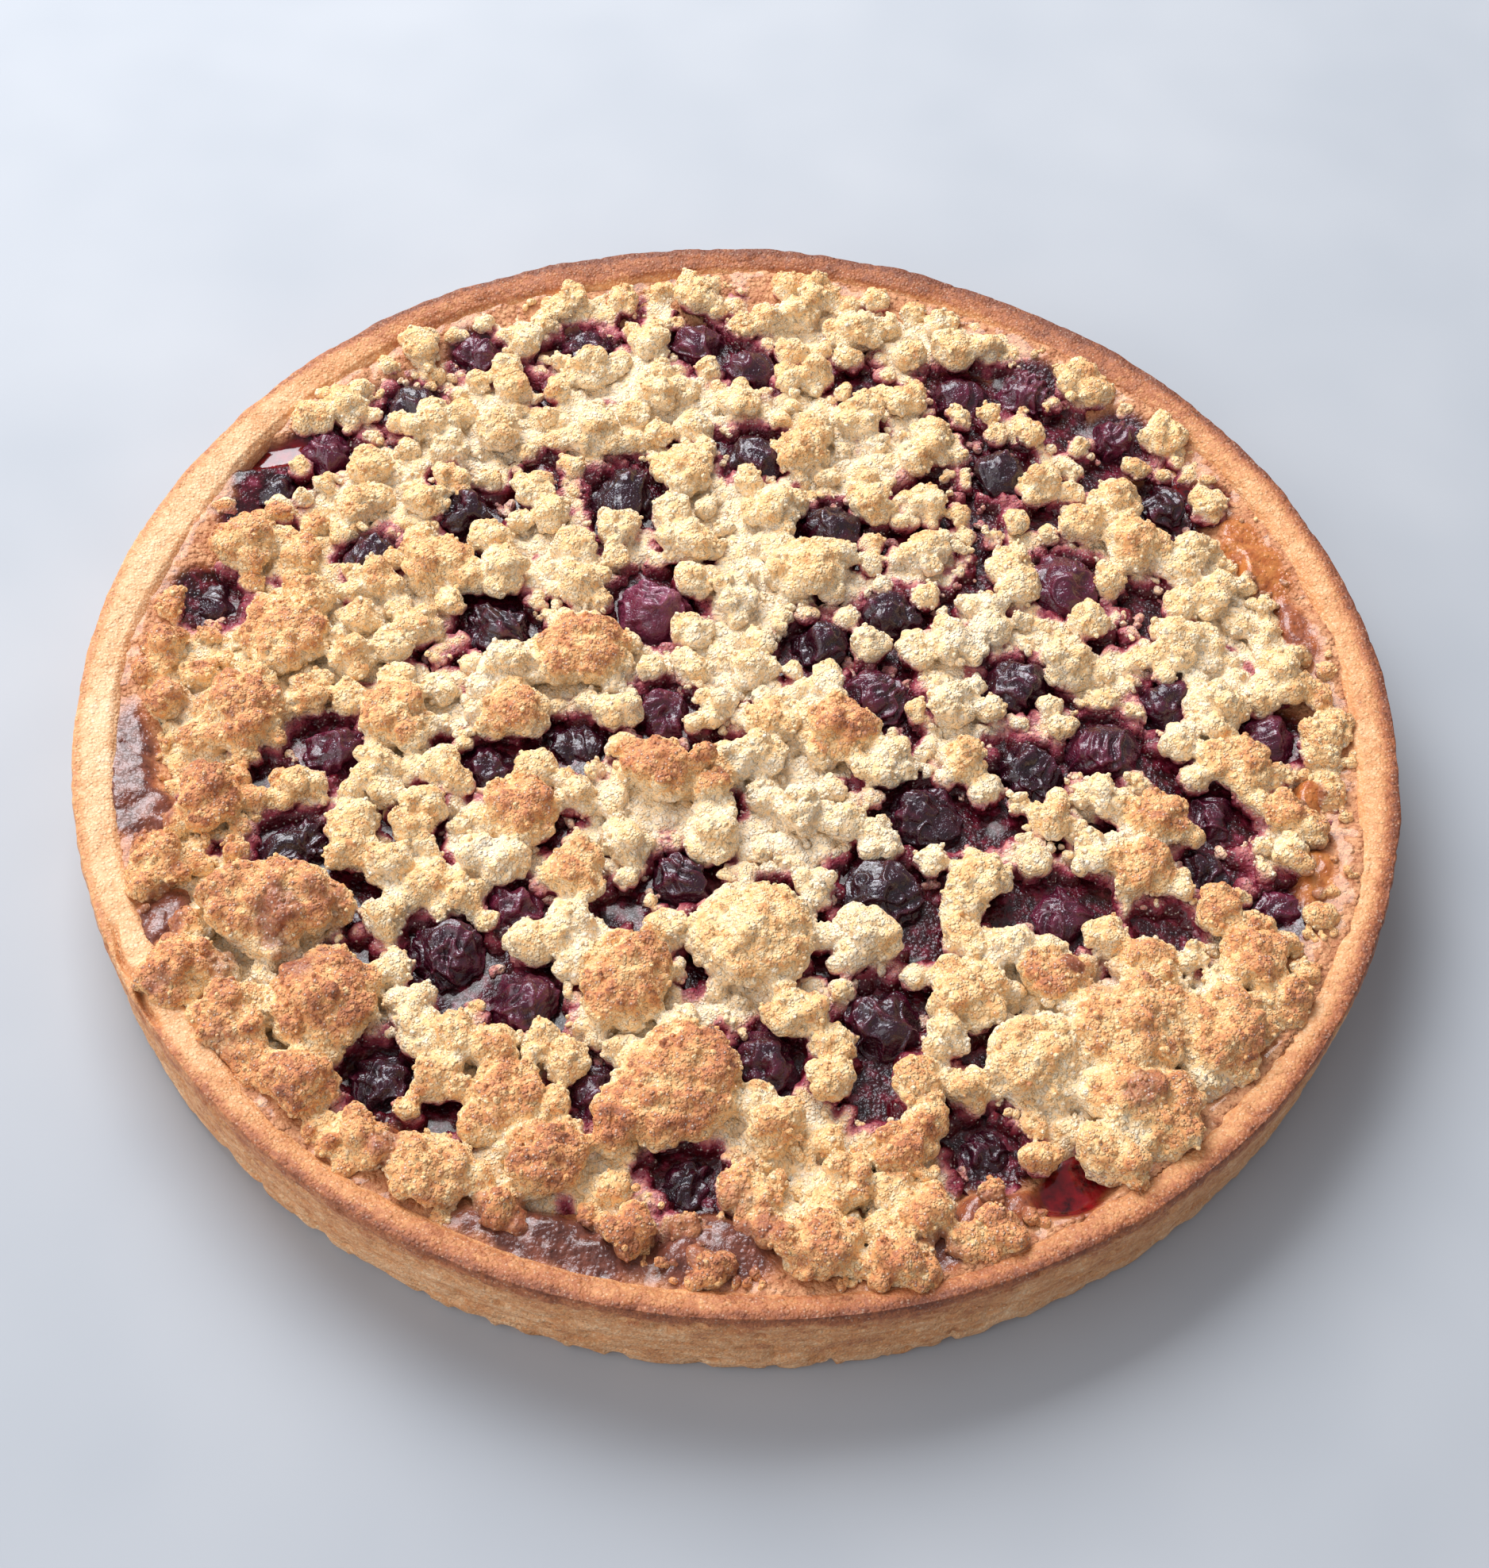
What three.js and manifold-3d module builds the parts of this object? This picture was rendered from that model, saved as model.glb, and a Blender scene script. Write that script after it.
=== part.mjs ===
// A sour cherry tart: a round shortcrust case with an upright wall, a custard filling set with
// cherries, and a streusel topping whose clumps leave the cherries showing.
//
// Millimetres, +Z up. The origin is the middle of the underside, and -Y is the front.

import * as THREE from 'three';
import { mergeVertices } from 'three/addons/utils/BufferGeometryUtils.js';
import Module from 'manifold-3d';

// ---- Driving dimensions ----

const OUTER_RADIUS = 120; // at the top edge of the wall, as a 240 mm tart ring leaves it
const FOOT_RADIUS = 119.2; // at the bottom of the wall
const RIM_HEIGHT = 21.2;
const RIM_WIDTH = 8; // mean width of the rim's top
const FLOOR_THICKNESS = 4;
const FILLING_LEVEL = 16; // top of the custard away from the wall
const FILLING_EDGE_LEVEL = 18.6; // where the custard climbs to the wall
const CLIMB_START = 100; // radius at which the custard starts to climb
const CLIMB_MIDDLE = 106;
const CLIMB_MIDDLE_LEVEL = 17.2;
const BED_LOW = 18; // the streusel bed's top lies between these two, crumb by crumb
const BED_HIGH = 24.6;
const BED_SKEW = 1.3; // above 1, more of the bed is low than high
const CRUMB_SPACING = 8; // of the bumps in the bed
const CLUMP_LEVEL = 21; // top of a clump of no size; clumps rise above it with their length
const CLUMP_RISE = 0.28;
const GAP = 0.3; // kept between pieces that touch

const CASE_SIDES = 60; // straight sides round the case, the filling and the bed
const WELL_SIDES = 6; // sides of the well that a cherry lies in
const OPENING_SIDES = 5;
const WELL_EASE = 1.06; // a well's width for its cherry's
const WELL_MOUTH = 0.72; // least width of a covered well's mouth for its width lower down
const SETTLING_PASSES = 60;
const WALL_CLEARANCE = 1.6; // from a cherry to the wall
const FLOOR_CLEARANCE = 1.5; // from a cherry to the floor
const CHERRY_ROUGHNESS = 0.07; // share of its radius by which a cherry is dented
const CHERRY_SQUASH = 0.92; // height of a cherry for its width
const LARGE_CLUMP = 16; // clumps at least this long have four times the faces
const CLUMP_ROUGHNESS = 0.16;
const CLUMP_FULLNESS = 1.08; // makes up for the flat faces of a clump
const CLUMP_DEPTH = 2; // how far a clump's underside would reach under the custard's level
const FOOT_BEVEL = 1.2;
const LIP_HEIGHT = 1.5; // of the rounding of the rim's edges
const WALL_LEAN = 2; // how far the inside of the wall leans in at the floor
const BED_EDGE = 1; // least width of the bed's last slope
const SIMPLEST = 0.3; // detail finer than this is left out of the topping
const SKY = 60; // above everything, where cutting shapes end

// Cherries: x, y, width, width of the part that shows, height of the top.
const CHERRIES = [
  [-76, -37, 16, 18, 21.2], [-47, -56, 16, 18, 22.5], [-33, -64.5, 14.5, 15, 21.5],
  [-55, -80, 14, 13, 19.8], [-8, -37, 14, 15, 21], [-37, -45, 11.5, 8, 20],
  [-20, -79, 13, 9, 19.5], [-3, -95, 13, 12, 17.8], [26, -38, 17, 18, 22.6],
  [59, -39, 15, 20, 19.6], [27, -63, 15.5, 16, 21.5], [9, -72, 13.5, 12, 20.5],
  [45, -85, 13, 13, 18.2], [97, -35, 10.5, 9, 19.2],
  [-47, 16, 15, 15, 22], [-18, 23, 17, 18, 22.6], [-14, -1, 12, 12, 21],
  [-29, -9, 13, 11, 20], [-45, -16, 12, 9, 20.5],
  [-73, -15, 13.5, 13, 21], [-101, 18, 12, 10, 18.6], [-72, 31, 12, 9, 21],
  [60, 35, 16, 17, 22.6], [28, 25, 13, 10, 21.5], [14, 17, 13.5, 12, 22],
  [25, 5, 14.5, 14, 22], [50, 10, 14, 12, 21.5], [79, 8, 13, 10, 21],
  [98, 2, 12.5, 11, 20.5], [66, -3.5, 15, 15, 22.5], [53, -9, 14, 13, 21.5],
  [33, -20, 16, 17, 22], [86, -16, 13, 13, 19.8], [84, -28, 11, 10, 18.8],
  [-26, 50, 15.5, 15, 22.5], [-56, 43, 12, 9, 22], [-94, 47, 12, 13, 20],
  [-85, 57, 12, 12, 20.6], [-71, 71, 12, 10, 21], [-58, 86, 11, 9, 21.5],
  [-37, 90, 12, 10, 21], [-14, 93, 12.5, 13, 21.5], [-2.5, 87, 12.5, 11, 21.5],
  [-1, 64, 13, 11, 21.5], [40, 85, 13.5, 12, 21], [53, 87, 13, 13, 21.5],
  [71.5, 74, 12, 13, 21.5], [80, 57, 13.5, 13, 21.5],
  [15, 46, 13, 11, 22], [48, 63, 13.5, 10, 21.5],
];

// Dark gaps between clumps where the filling shows: x, y, width.
const OPENINGS = [
  [-64, -45, 9], [-62, -57, 6], [-43, -86, 7], [-84, -22, 7], [8, -40, 7], [-5, -54, 6],
  [26, -77, 8], [35, -46, 8], [76, -42, 9], [45, -22, 8], [77, -7, 7], [48, -38, 9],
  [34, 59, 7], [57, 53, 7], [75, 33, 7], [18, 86, 8], [-20, -45, 7], [68, 64, 8], [-97, 38, 7],
  [44, -68, 7], [-6, -9, 8], [61, 77, 8],
];

// Clumps of streusel: x, y, length, width, turn in degrees.
const CLUMPS = [
  [-77, -51, 27, 16, 0], [-91, -64, 15, 12, 60], [-66, -68, 20, 17, 20], [-68, -83, 15, 12, 140],
  [-98, -43, 14, 11, 75], [-45, -97, 15, 12, 160], [-44, -73, 10, 9, 0], [-34, -83, 14, 12, 30],
  [-26, -94, 14, 13, 0], [-15, -86, 12, 10, 50], [-16, -60, 20, 15, 80], [5, -50, 20, 19, 0],
  [13, -64, 14, 9, 10], [-6, -79, 22, 18, 70], [41, -58, 14, 13, 0], 
  [53, -70, 17, 15, 30], [69, -63, 22, 17, 20], [70, -77, 20, 16, 150], [85, -62, 18, 14, 60],
  [65, -86, 14, 11, 150], [90, -47, 14, 12, 70], [85, -38, 10, 9, 0], [95, -55, 12, 10, 60],
  [57, -54, 14, 11, 0], [72, -50, 12, 10, 0], [33, -76, 10, 9, 0],
  [31, -88, 12, 10, 40], [22, -94, 10, 9, 0], [18, -106, 16, 11, 10], [35, -99, 11, 9, 30],
  [6, -104, 12, 9, 0], [-12, -105, 12, 9, 0], [-32, -104, 11, 9, 0], [-56, -93, 13, 10, 145],
  [-80, -73, 15, 13, 120], [-52, -44, 10, 9, 0], [-66, -37, 11, 9, 0],
 [-38, -27, 14, 13, 0], [-27, -39, 12, 11, 0],
  [-12, -17, 24, 11, 170], [18, -5, 14, 13, 0], [6, -3, 11, 10, 0], [41, -9, 13, 8, 90],
  [-30, 9, 18, 15, 20], [-41, -5, 14, 12, 60], [-62, -8, 15, 12, 100], [90, -6, 13, 11, 0],
  [43, -35, 12, 10, 40], [72, -30, 12, 11, 0], [75, -19, 12, 10, 0],
  [-90, -10, 17, 14, 80], [-92, -28, 15, 12, 100], [-85, 8, 16, 14, 0], [98, -15, 10, 8, 90],
  [10, 33, 14, 13, 0], [-60, 28, 14, 12, 0], [-95, 30, 15, 12, 60], [74, 45, 14, 12, 0],
];

// Where the topping stops short of the wall and the custard shows: azimuth, half-width, depth.
const BARE_EDGES = [
  [193, 12, 8], [261, 11, 5], [302, 6, 9], [347, 7, 7], [21, 11, 7], [152, 7, 5],
];

const DOUGH = new THREE.MeshStandardMaterial({ color: '#c8986a', roughness: 0.85 });
const CUSTARD = new THREE.MeshStandardMaterial({ color: '#8a4a34', roughness: 0.35 });
const STREUSEL = new THREE.MeshStandardMaterial({ color: '#dcb27a', roughness: 0.95 });
const CHERRY_SKIN = new THREE.MeshStandardMaterial({ color: '#2b0e12', roughness: 0.25 });

// ---- Sections of the case and of what fills it ----

// Width of the rim at an azimuth: wider to the right, narrower at the front and the back.
function rimWidth(azimuth) {
  const lopsided = 1.2 * Math.cos(azimuth) + 0.6 * Math.cos(2 * azimuth);
  const hand = 0.5 * Math.sin(7 * azimuth + 1) + 0.35 * Math.sin(13 * azimuth + 2);
  return RIM_WIDTH + lopsided + hand;
}

function rimHeight(azimuth) {
  return RIM_HEIGHT + 0.3 * Math.sin(3 * azimuth + 0.5) + 0.2 * Math.sin(8 * azimuth + 2);
}

function innerRadius(azimuth) {
  return OUTER_RADIUS - rimWidth(azimuth);
}

// How far the topping stops short of the wall.
function bareEdge(azimuth) {
  const degrees = THREE.MathUtils.euclideanModulo(THREE.MathUtils.radToDeg(azimuth), 360);
  let depth = 0;
  for (const [middle, half, deep] of BARE_EDGES) {
    const away = Math.abs(degrees - middle) / half;
    depth = Math.max(depth, away < 1 ? deep * Math.cos(away * Math.PI / 2) : 0);
  }
  return depth;
}

// Level of the custard: flat in the middle, climbing in two slopes to the wall.
function fillingLevel(radius, azimuth) {
  if (radius < CLIMB_MIDDLE) {
    const share = THREE.MathUtils.clamp((radius - CLIMB_START) / (CLIMB_MIDDLE - CLIMB_START), 0, 1);
    return THREE.MathUtils.lerp(FILLING_LEVEL, CLIMB_MIDDLE_LEVEL, share);
  }
  const share = (radius - CLIMB_MIDDLE) / (innerRadius(azimuth) - CLIMB_MIDDLE);
  return THREE.MathUtils.lerp(CLIMB_MIDDLE_LEVEL, FILLING_EDGE_LEVEL, share);
}

function caseSection(azimuth) {
  const top = rimHeight(azimuth);
  const inner = innerRadius(azimuth);
  return [
    [0, 0], [FOOT_RADIUS - FOOT_BEVEL, 0], [FOOT_RADIUS, FOOT_BEVEL],
    [OUTER_RADIUS - GAP, top - 4 * LIP_HEIGHT], [OUTER_RADIUS, top - LIP_HEIGHT],
    [OUTER_RADIUS - LIP_HEIGHT, top], [inner + LIP_HEIGHT, top], [inner, top - LIP_HEIGHT],
    [inner - WALL_LEAN, FLOOR_THICKNESS], [0, FLOOR_THICKNESS],
  ];
}

function fillingSection(azimuth) {
  const edge = innerRadius(azimuth) - 2 * GAP;
  return [
    [0, FLOOR_THICKNESS + GAP], [edge - WALL_LEAN, FLOOR_THICKNESS + GAP],
    [edge, fillingLevel(edge, azimuth)],
    [CLIMB_MIDDLE, CLIMB_MIDDLE_LEVEL], [CLIMB_START, FILLING_LEVEL], [0, FILLING_LEVEL],
  ];
}

// Underside of the topping, a gap above the custard, out to an edge.
function undersideTo(edge, azimuth) {
  const middle = Math.min(CLIMB_MIDDLE, edge - BED_EDGE);
  return [
    [0, FILLING_LEVEL + GAP], [CLIMB_START, FILLING_LEVEL + GAP],
    [middle, fillingLevel(middle, azimuth) + GAP], [edge, fillingLevel(edge, azimuth) + GAP],
  ];
}

// The room over the custard, out to a stretch short of the wall.
function roomSection(azimuth, short) {
  const edge = innerRadius(azimuth) - 2 * GAP - short;
  return [...undersideTo(edge, azimuth), [edge, SKY], [0, SKY]];
}

// ---- Shapes ----

// A seeded generator of numbers from 0 to 1.
function drawing(seed) {
  let state = seed;
  return () => {
    state = (state + 0x6d2b79f5) | 0;
    let mixed = Math.imul(state ^ (state >>> 15), 1 | state);
    mixed = (mixed + Math.imul(mixed ^ (mixed >>> 7), 61 | mixed)) ^ mixed;
    return ((mixed ^ (mixed >>> 14)) >>> 0) / 2 ** 32;
  };
}

// The same geometry with shared vertices and without triangles that have no area.
function welded(geometry) {
  const bare = geometry.clone();
  for (const name of ['normal', 'uv']) bare.deleteAttribute(name);
  const merged = mergeVertices(bare, 1e-3);
  const corners = merged.index.array;
  const kept = [];
  for (let i = 0; i < corners.length; i += 3) {
    const [a, b, c] = corners.slice(i, i + 3);
    if (a !== b && b !== c && c !== a) kept.push(a, b, c);
  }
  merged.setIndex(kept);
  return merged;
}

// A solid round the Z axis whose section may change with the azimuth. The section runs from the
// axis at the bottom, up the outside and back to the axis.
function turned(sectionAt, sides) {
  const count = sectionAt(0).length;
  const blank = Array.from({ length: count }, (_, j) => new THREE.Vector2(1, j));
  const lathe = new THREE.LatheGeometry(blank, sides);
  const place = lathe.attributes.position;
  for (let i = 0; i <= sides; i += 1) {
    const azimuth = 2 * Math.PI * (i % sides) / sides;
    sectionAt(azimuth).forEach(([radius, z], j) => {
      place.setXYZ(i * count + j, radius * Math.cos(azimuth), radius * Math.sin(azimuth), z);
    });
  }
  return welded(lathe);
}

// A ball of radius 1 with its corners pulled in at random, by no more than the roughness.
function roughBall(shape, roughness, random) {
  const ball = welded(shape);
  const place = ball.attributes.position;
  for (let i = 0; i < place.count; i += 1) {
    const pull = 1 - roughness * random();
    place.setXYZ(i, place.getX(i) * pull, place.getY(i) * pull, place.getZ(i) * pull);
  }
  return ball;
}

// Whether crumbs lie over the edge of a cherry.
function isCovered({ radius, seen }) {
  return seen < 1.8 * radius;
}

// The well that a cherry lies in: straight up where all of the cherry shows, and drawn in over it
// by a cone, down to the width that shows at its top, where crumbs cover its edge.
function cherryWell({ x, y, radius, halfHeight, middle, seen }) {
  const wide = (WELL_EASE * radius + GAP) / Math.cos(Math.PI / WELL_SIDES);
  const bottom = middle - halfHeight - GAP;
  const mouth = Math.max(seen / 2, WELL_MOUTH * wide);
  const covered = isCovered({ radius, seen });
  const apex = covered ? middle + halfHeight * wide / (wide - mouth) : SKY;
  const upper = covered ? [[wide, middle], [0, apex]] : [[wide, apex], [0, apex]];
  return turned(() => [[0, bottom], [wide, bottom], ...upper], WELL_SIDES).translate(x, y, 0);
}

function openingWell(x, y, width) {
  const bottom = FILLING_LEVEL - GAP;
  const reach = width / 2 / Math.cos(Math.PI / OPENING_SIDES);
  const section = [[0, bottom], [reach, bottom], [reach, SKY], [0, SKY]];
  return turned(() => section, OPENING_SIDES).translate(x, y, 0);
}

// A block whose top is bumpy with crumbs, wider than the tart.
function bumpyBlock(random) {
  const width = 2 * OUTER_RADIUS;
  const cells = Math.round(width / CRUMB_SPACING);
  const block = welded(new THREE.BoxGeometry(width, width, 1, cells, cells, 1));
  const place = block.attributes.position;
  const jitter = () => CRUMB_SPACING * 0.5 * (random() - 0.5);
  for (let i = 0; i < place.count; i += 1) {
    const top = place.getZ(i) > 0;
    const height = top ? THREE.MathUtils.lerp(BED_LOW, BED_HIGH, random() ** BED_SKEW) : FLOOR_THICKNESS;
    place.setXYZ(i, place.getX(i) + jitter(), place.getY(i) + jitter(), height);
  }
  return block;
}

function clump([x, y, length, width, turn], random) {
  const large = length >= LARGE_CLUMP;
  const shape = new THREE.IcosahedronGeometry(1, large ? 1 : 0);
  const ball = roughBall(shape, large ? CLUMP_ROUGHNESS : 0, random);
  const top = CLUMP_LEVEL + CLUMP_RISE * length;
  const bottom = FILLING_LEVEL - CLUMP_DEPTH;
  ball.rotateX(random() * Math.PI).rotateY(random() * Math.PI);
  const [long, wide, tall] = [length * CLUMP_FULLNESS, width * CLUMP_FULLNESS, top - bottom];
  ball.scale(long / 2, wide / 2, tall / 2);
  ball.rotateZ(THREE.MathUtils.degToRad(turn));
  return ball.translate(x, y, (top + bottom) / 2);
}

// ---- Cherries ----

// Pushes cherries apart until none crosses another, and keeps them inside the wall.
function settledCherries() {
  const cherries = CHERRIES.map(([x, y, width, seen, top]) => {
    const radius = width / 2;
    const halfHeight = Math.min(CHERRY_SQUASH * radius, (top - FLOOR_THICKNESS - FLOOR_CLEARANCE) / 2);
    return { x, y, radius, halfHeight, seen, middle: top - halfHeight };
  });
  for (let pass = 0; pass < SETTLING_PASSES; pass += 1) {
    for (const one of cherries) {
      for (const other of cherries) {
        const apart = Math.hypot(other.x - one.x, other.y - one.y);
        const push = (one.radius + other.radius + 1.5 * GAP - apart) / 2;
        if (other !== one && push > 0) {
          const [stepX, stepY] = [(other.x - one.x) / apart * push, (other.y - one.y) / apart * push];
          one.x -= stepX;
          one.y -= stepY;
          other.x += stepX;
          other.y += stepY;
        }
      }
      const reach = Math.hypot(one.x, one.y);
      const limit = innerRadius(Math.atan2(one.y, one.x)) - one.radius - WALL_CLEARANCE;
      const pull = Math.min(1, limit / reach);
      one.x *= pull;
      one.y *= pull;
    }
  }
  return cherries;
}

// ---- Joining and cutting ----

const library = await Module();
library.setup();

function solid(geometry) {
  return new library.Manifold(new library.Mesh({
    numProp: 3,
    vertProperties: Float32Array.from(geometry.attributes.position.array),
    triVerts: Uint32Array.from(geometry.index.array),
  }));
}

// The largest body of a solid as a geometry: scraps that a cut leaves loose are dropped.
function largestBody(whole) {
  const bodies = whole.decompose().sort((a, b) => b.volume() - a.volume());
  const mesh = bodies[0].getMesh();
  const geometry = new THREE.BufferGeometry();
  geometry.setAttribute('position', new THREE.BufferAttribute(mesh.vertProperties, 3));
  geometry.setIndex(Array.from(mesh.triVerts));
  return welded(geometry);
}

function cutAll(whole, cutters) {
  return cutters.reduce((left, cutter) => left.subtract(solid(cutter)), whole);
}

// ---- The tart ----

const cherries = settledCherries();
const wells = cherries.map(cherryWell);

function fillingGeometry() {
  return largestBody(cutAll(solid(turned(fillingSection, CASE_SIDES)), wells));
}

function streuselGeometry() {
  const random = drawing(7);
  const room = solid(turned((azimuth) => roomSection(azimuth, 0), CASE_SIDES));
  const bedRoom = solid(turned((azimuth) => roomSection(azimuth, bareEdge(azimuth)), CASE_SIDES));
  const bed = solid(bumpyBlock(random)).intersect(bedRoom);
  const clumps = CLUMPS.map((lump) => solid(clump(lump, random)));
  const heap = clumps.reduce((left, lump) => left.add(lump), bed).intersect(room);
  const openings = OPENINGS.map(([x, y, width]) => openingWell(x, y, width));
  return largestBody(cutAll(heap, [...wells, ...openings]).simplify(SIMPLEST));
}

const tart = new THREE.Group();

function piece(name, geometry, material) {
  const mesh = new THREE.Mesh(geometry, material);
  mesh.name = name;
  tart.add(mesh);
  return mesh;
}

piece('crust', turned(caseSection, CASE_SIDES), DOUGH);
piece('filling', fillingGeometry(), CUSTARD);
piece('streusel', streuselGeometry(), STREUSEL);

const cherryDraw = drawing(11);
cherries.forEach(({ x, y, radius, halfHeight, middle, seen }, index) => {
  const shape = new THREE.SphereGeometry(1, ...(isCovered({ radius, seen }) ? [7, 4] : [8, 5]));
  const ball = roughBall(shape.rotateX(Math.PI / 2), CHERRY_ROUGHNESS, cherryDraw);
  ball.scale(radius, radius, halfHeight);
  const cherry = piece(`cherry_${String(index + 1).padStart(2, '0')}`, ball, CHERRY_SKIN);
  cherry.position.set(x, y, middle);
  cherry.rotation.z = 2 * Math.PI * cherryDraw();
});

export default tart;
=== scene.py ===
"""A sour cherry tart: a shortcrust case, custard and cherry juice, wrinkled cherries and streusel.

Everything is in metres around the CAD frame. Places that are read off the tart are written in
millimetres, as x, y from its middle, with -Y at the front.
"""

import math

import bpy
import numpy as np
from mathutils import Matrix, Vector


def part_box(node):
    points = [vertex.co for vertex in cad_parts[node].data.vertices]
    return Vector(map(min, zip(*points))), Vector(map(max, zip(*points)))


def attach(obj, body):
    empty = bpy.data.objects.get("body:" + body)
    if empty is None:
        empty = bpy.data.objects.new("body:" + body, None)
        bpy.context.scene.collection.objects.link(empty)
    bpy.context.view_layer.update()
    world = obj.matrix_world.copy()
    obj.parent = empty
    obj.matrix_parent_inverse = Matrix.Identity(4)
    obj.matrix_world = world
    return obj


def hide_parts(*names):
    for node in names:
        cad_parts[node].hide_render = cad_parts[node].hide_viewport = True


MM = 0.001

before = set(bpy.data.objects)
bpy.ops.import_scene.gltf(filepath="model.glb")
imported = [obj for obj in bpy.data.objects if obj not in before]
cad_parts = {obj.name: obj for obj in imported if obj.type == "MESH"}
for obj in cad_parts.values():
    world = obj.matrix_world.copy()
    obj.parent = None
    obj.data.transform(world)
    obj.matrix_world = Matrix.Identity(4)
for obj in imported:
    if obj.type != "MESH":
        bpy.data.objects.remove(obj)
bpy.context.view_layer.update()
bpy.ops.object.select_all(action="DESELECT")

# ---- Driving sizes, in millimetres ----

RIM_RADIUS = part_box("crust")[1].x / MM
RIM_HEIGHT = 21.2
RIM_WIDTH = 6.8
CASE_FLOOR = 4.0  # thickness of the pastry under the filling
FILLING_LEVEL = 16.0
FILLING_EDGE_LEVEL = 18.6
CLIMB_START = 100.0  # distance from the middle at which the filling starts to climb the wall
FILLING_FLOOR = 14.5  # underside of the filling's sheet, which doesn't show
BED_FLOOR = 13.5  # level of the bed of crumbs where there are none, inside the filling
TUCK = 1.3  # how far the bed reaches into the wall, so that no gap shows
CLUMP_LEVEL = 20.6  # top of a clump of no size; clumps rise above it with their length
CLUMP_RISE = 0.28
CLUMP_FOOT = 15.6  # underside of the clumps, inside the bed
AROUND = 11.0  # width over which a crumb's height is compared with its neighbours'
VOXEL = 0.61  # of the streusel's surface
SECTORS = 5  # the streusel is made in sectors, so that each piece stays light
GRAINS = 1400  # of streusel, strewn between the crumbs
SPECKS = 5000  # finer ones, stuck to the crumbs
TORN = (16,)  # numbers of the cherries whose skin is torn

# Width of each cherry that shows between the crumbs, in the order of the nodes.
SEEN = [
    18, 18, 15, 13, 15, 8, 9, 12, 18, 20, 16, 12, 13, 9, 15, 18, 12, 11, 9, 13,
    10, 9, 17, 10, 12, 14, 12, 10, 11, 15, 13, 17, 13, 10, 15, 9, 13, 12, 10, 9,
    10, 13, 11, 11, 12, 13, 13, 13, 11, 10,
]  # fmt: skip

# Dark gaps between clumps: x, y, width.
OPENINGS = [
    (-64, -45, 9), (-62, -57, 6), (-43, -86, 7), (-84, -22, 7), (8, -40, 7), (-5, -54, 6),
    (26, -77, 8), (35, -46, 8), (76, -42, 9), (45, -22, 8), (77, -7, 7), (48, -38, 9),
    (34, 59, 7), (57, 53, 7), (75, 33, 7), (18, 86, 8), (-20, -45, 7), (68, 64, 8),
    (-97, 38, 7), (44, -68, 7), (-6, -9, 8), (61, 77, 8),
]  # fmt: skip

# Clumps of streusel: x, y, length, width, turn in degrees, how brown (0 pale to 1 toasted).
CLUMPS = [
    (-77, -51, 27, 16, 0, 0.52), (-91, -64, 15, 12, 60, 0.52), (-66, -68, 20, 17, 20, 0.58),
    (-68, -83, 15, 12, 140, 0.57), (-98, -43, 14, 11, 75, 0.48), (-45, -97, 15, 12, 160, 0.45),
    (-44, -73, 10, 9, 0, 0.35), (-34, -83, 14, 12, 30, 0.6), (-26, -94, 14, 13, 0, 0.6),
    (-15, -86, 12, 10, 50, 0.58), (-16, -60, 20, 15, 80, 0.52), (5, -50, 20, 19, 0, 0.35),
    (13, -64, 14, 9, 10, 0.32), (-6, -79, 22, 18, 70, 0.58), (41, -58, 14, 13, 0, 0.38),
    (41, -47, 9, 8, 0, 0.32), (53, -70, 17, 15, 30, 0.35), (69, -63, 22, 17, 20, 0.52),
    (70, -77, 20, 16, 150, 0.52), (85, -62, 18, 14, 60, 0.53), (65, -86, 14, 11, 150, 0.38),
    (90, -47, 14, 12, 70, 0.52), (85, -38, 10, 9, 0, 0.45), (95, -55, 12, 10, 60, 0.52),
    (57, -54, 14, 11, 0, 0.55), (72, -50, 12, 10, 0, 0.48), (33, -76, 10, 9, 0, 0.38),
    (41, -76, 9, 8, 0, 0.35), (31, -88, 12, 10, 40, 0.55), (22, -94, 10, 9, 0, 0.42),
    (18, -106, 16, 11, 10, 0.48), (35, -99, 11, 9, 30, 0.48), (8, -103, 8, 6, 0, 0.58),
    (-12, -105, 10, 8, 0, 0.6), (-33, -102, 9, 8, 0, 0.55), (-56, -93, 13, 10, 145, 0.48),
    (-80, -73, 15, 13, 120, 0.53), (-52, -44, 10, 9, 0, 0.32), (-45, -45, 9, 8, 0, 0.3),
    (-66, -37, 11, 9, 0, 0.32), (-56, -32, 9, 8, 0, 0.35), (-58, -51, 9, 8, 0, 0.25),
    (-38, -27, 14, 13, 0, 0.53), (-27, -39, 12, 11, 0, 0.42), (-12, -17, 24, 11, 170, 0.52),
    (18, -5, 14, 13, 0, 0.52), (6, -3, 11, 10, 0, 0.38), (41, -9, 13, 8, 90, 0.35),
    (-30, 9, 18, 15, 20, 0.55), (-41, -5, 14, 12, 60, 0.45), (-62, -8, 15, 12, 100, 0.45),
    (90, -6, 13, 11, 0, 0.42), (43, -35, 12, 10, 40, 0.25), (72, -30, 12, 11, 0, 0.45),
    (75, -19, 12, 10, 0, 0.48), (56, -21, 9, 8, 0, 0.32), (-90, -10, 17, 14, 80, 0.55),
    (-92, -28, 15, 12, 100, 0.55), (-85, 8, 16, 14, 0, 0.52), (98, -15, 10, 8, 90, 0.45),
    (10, 33, 14, 13, 0, 0.32), (-60, 28, 14, 12, 0, 0.42), (-95, 30, 15, 12, 60, 0.42),
    (74, 45, 14, 12, 0, 0.38),
]  # fmt: skip

# Where the topping stops short of the wall: azimuth, half-width in degrees, depth.
BARE_EDGES = [
    (193, 12, 8), (261, 11, 5), (302, 6, 9), (347, 7, 7), (21, 11, 7), (152, 7, 5),
]  # fmt: skip

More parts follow.
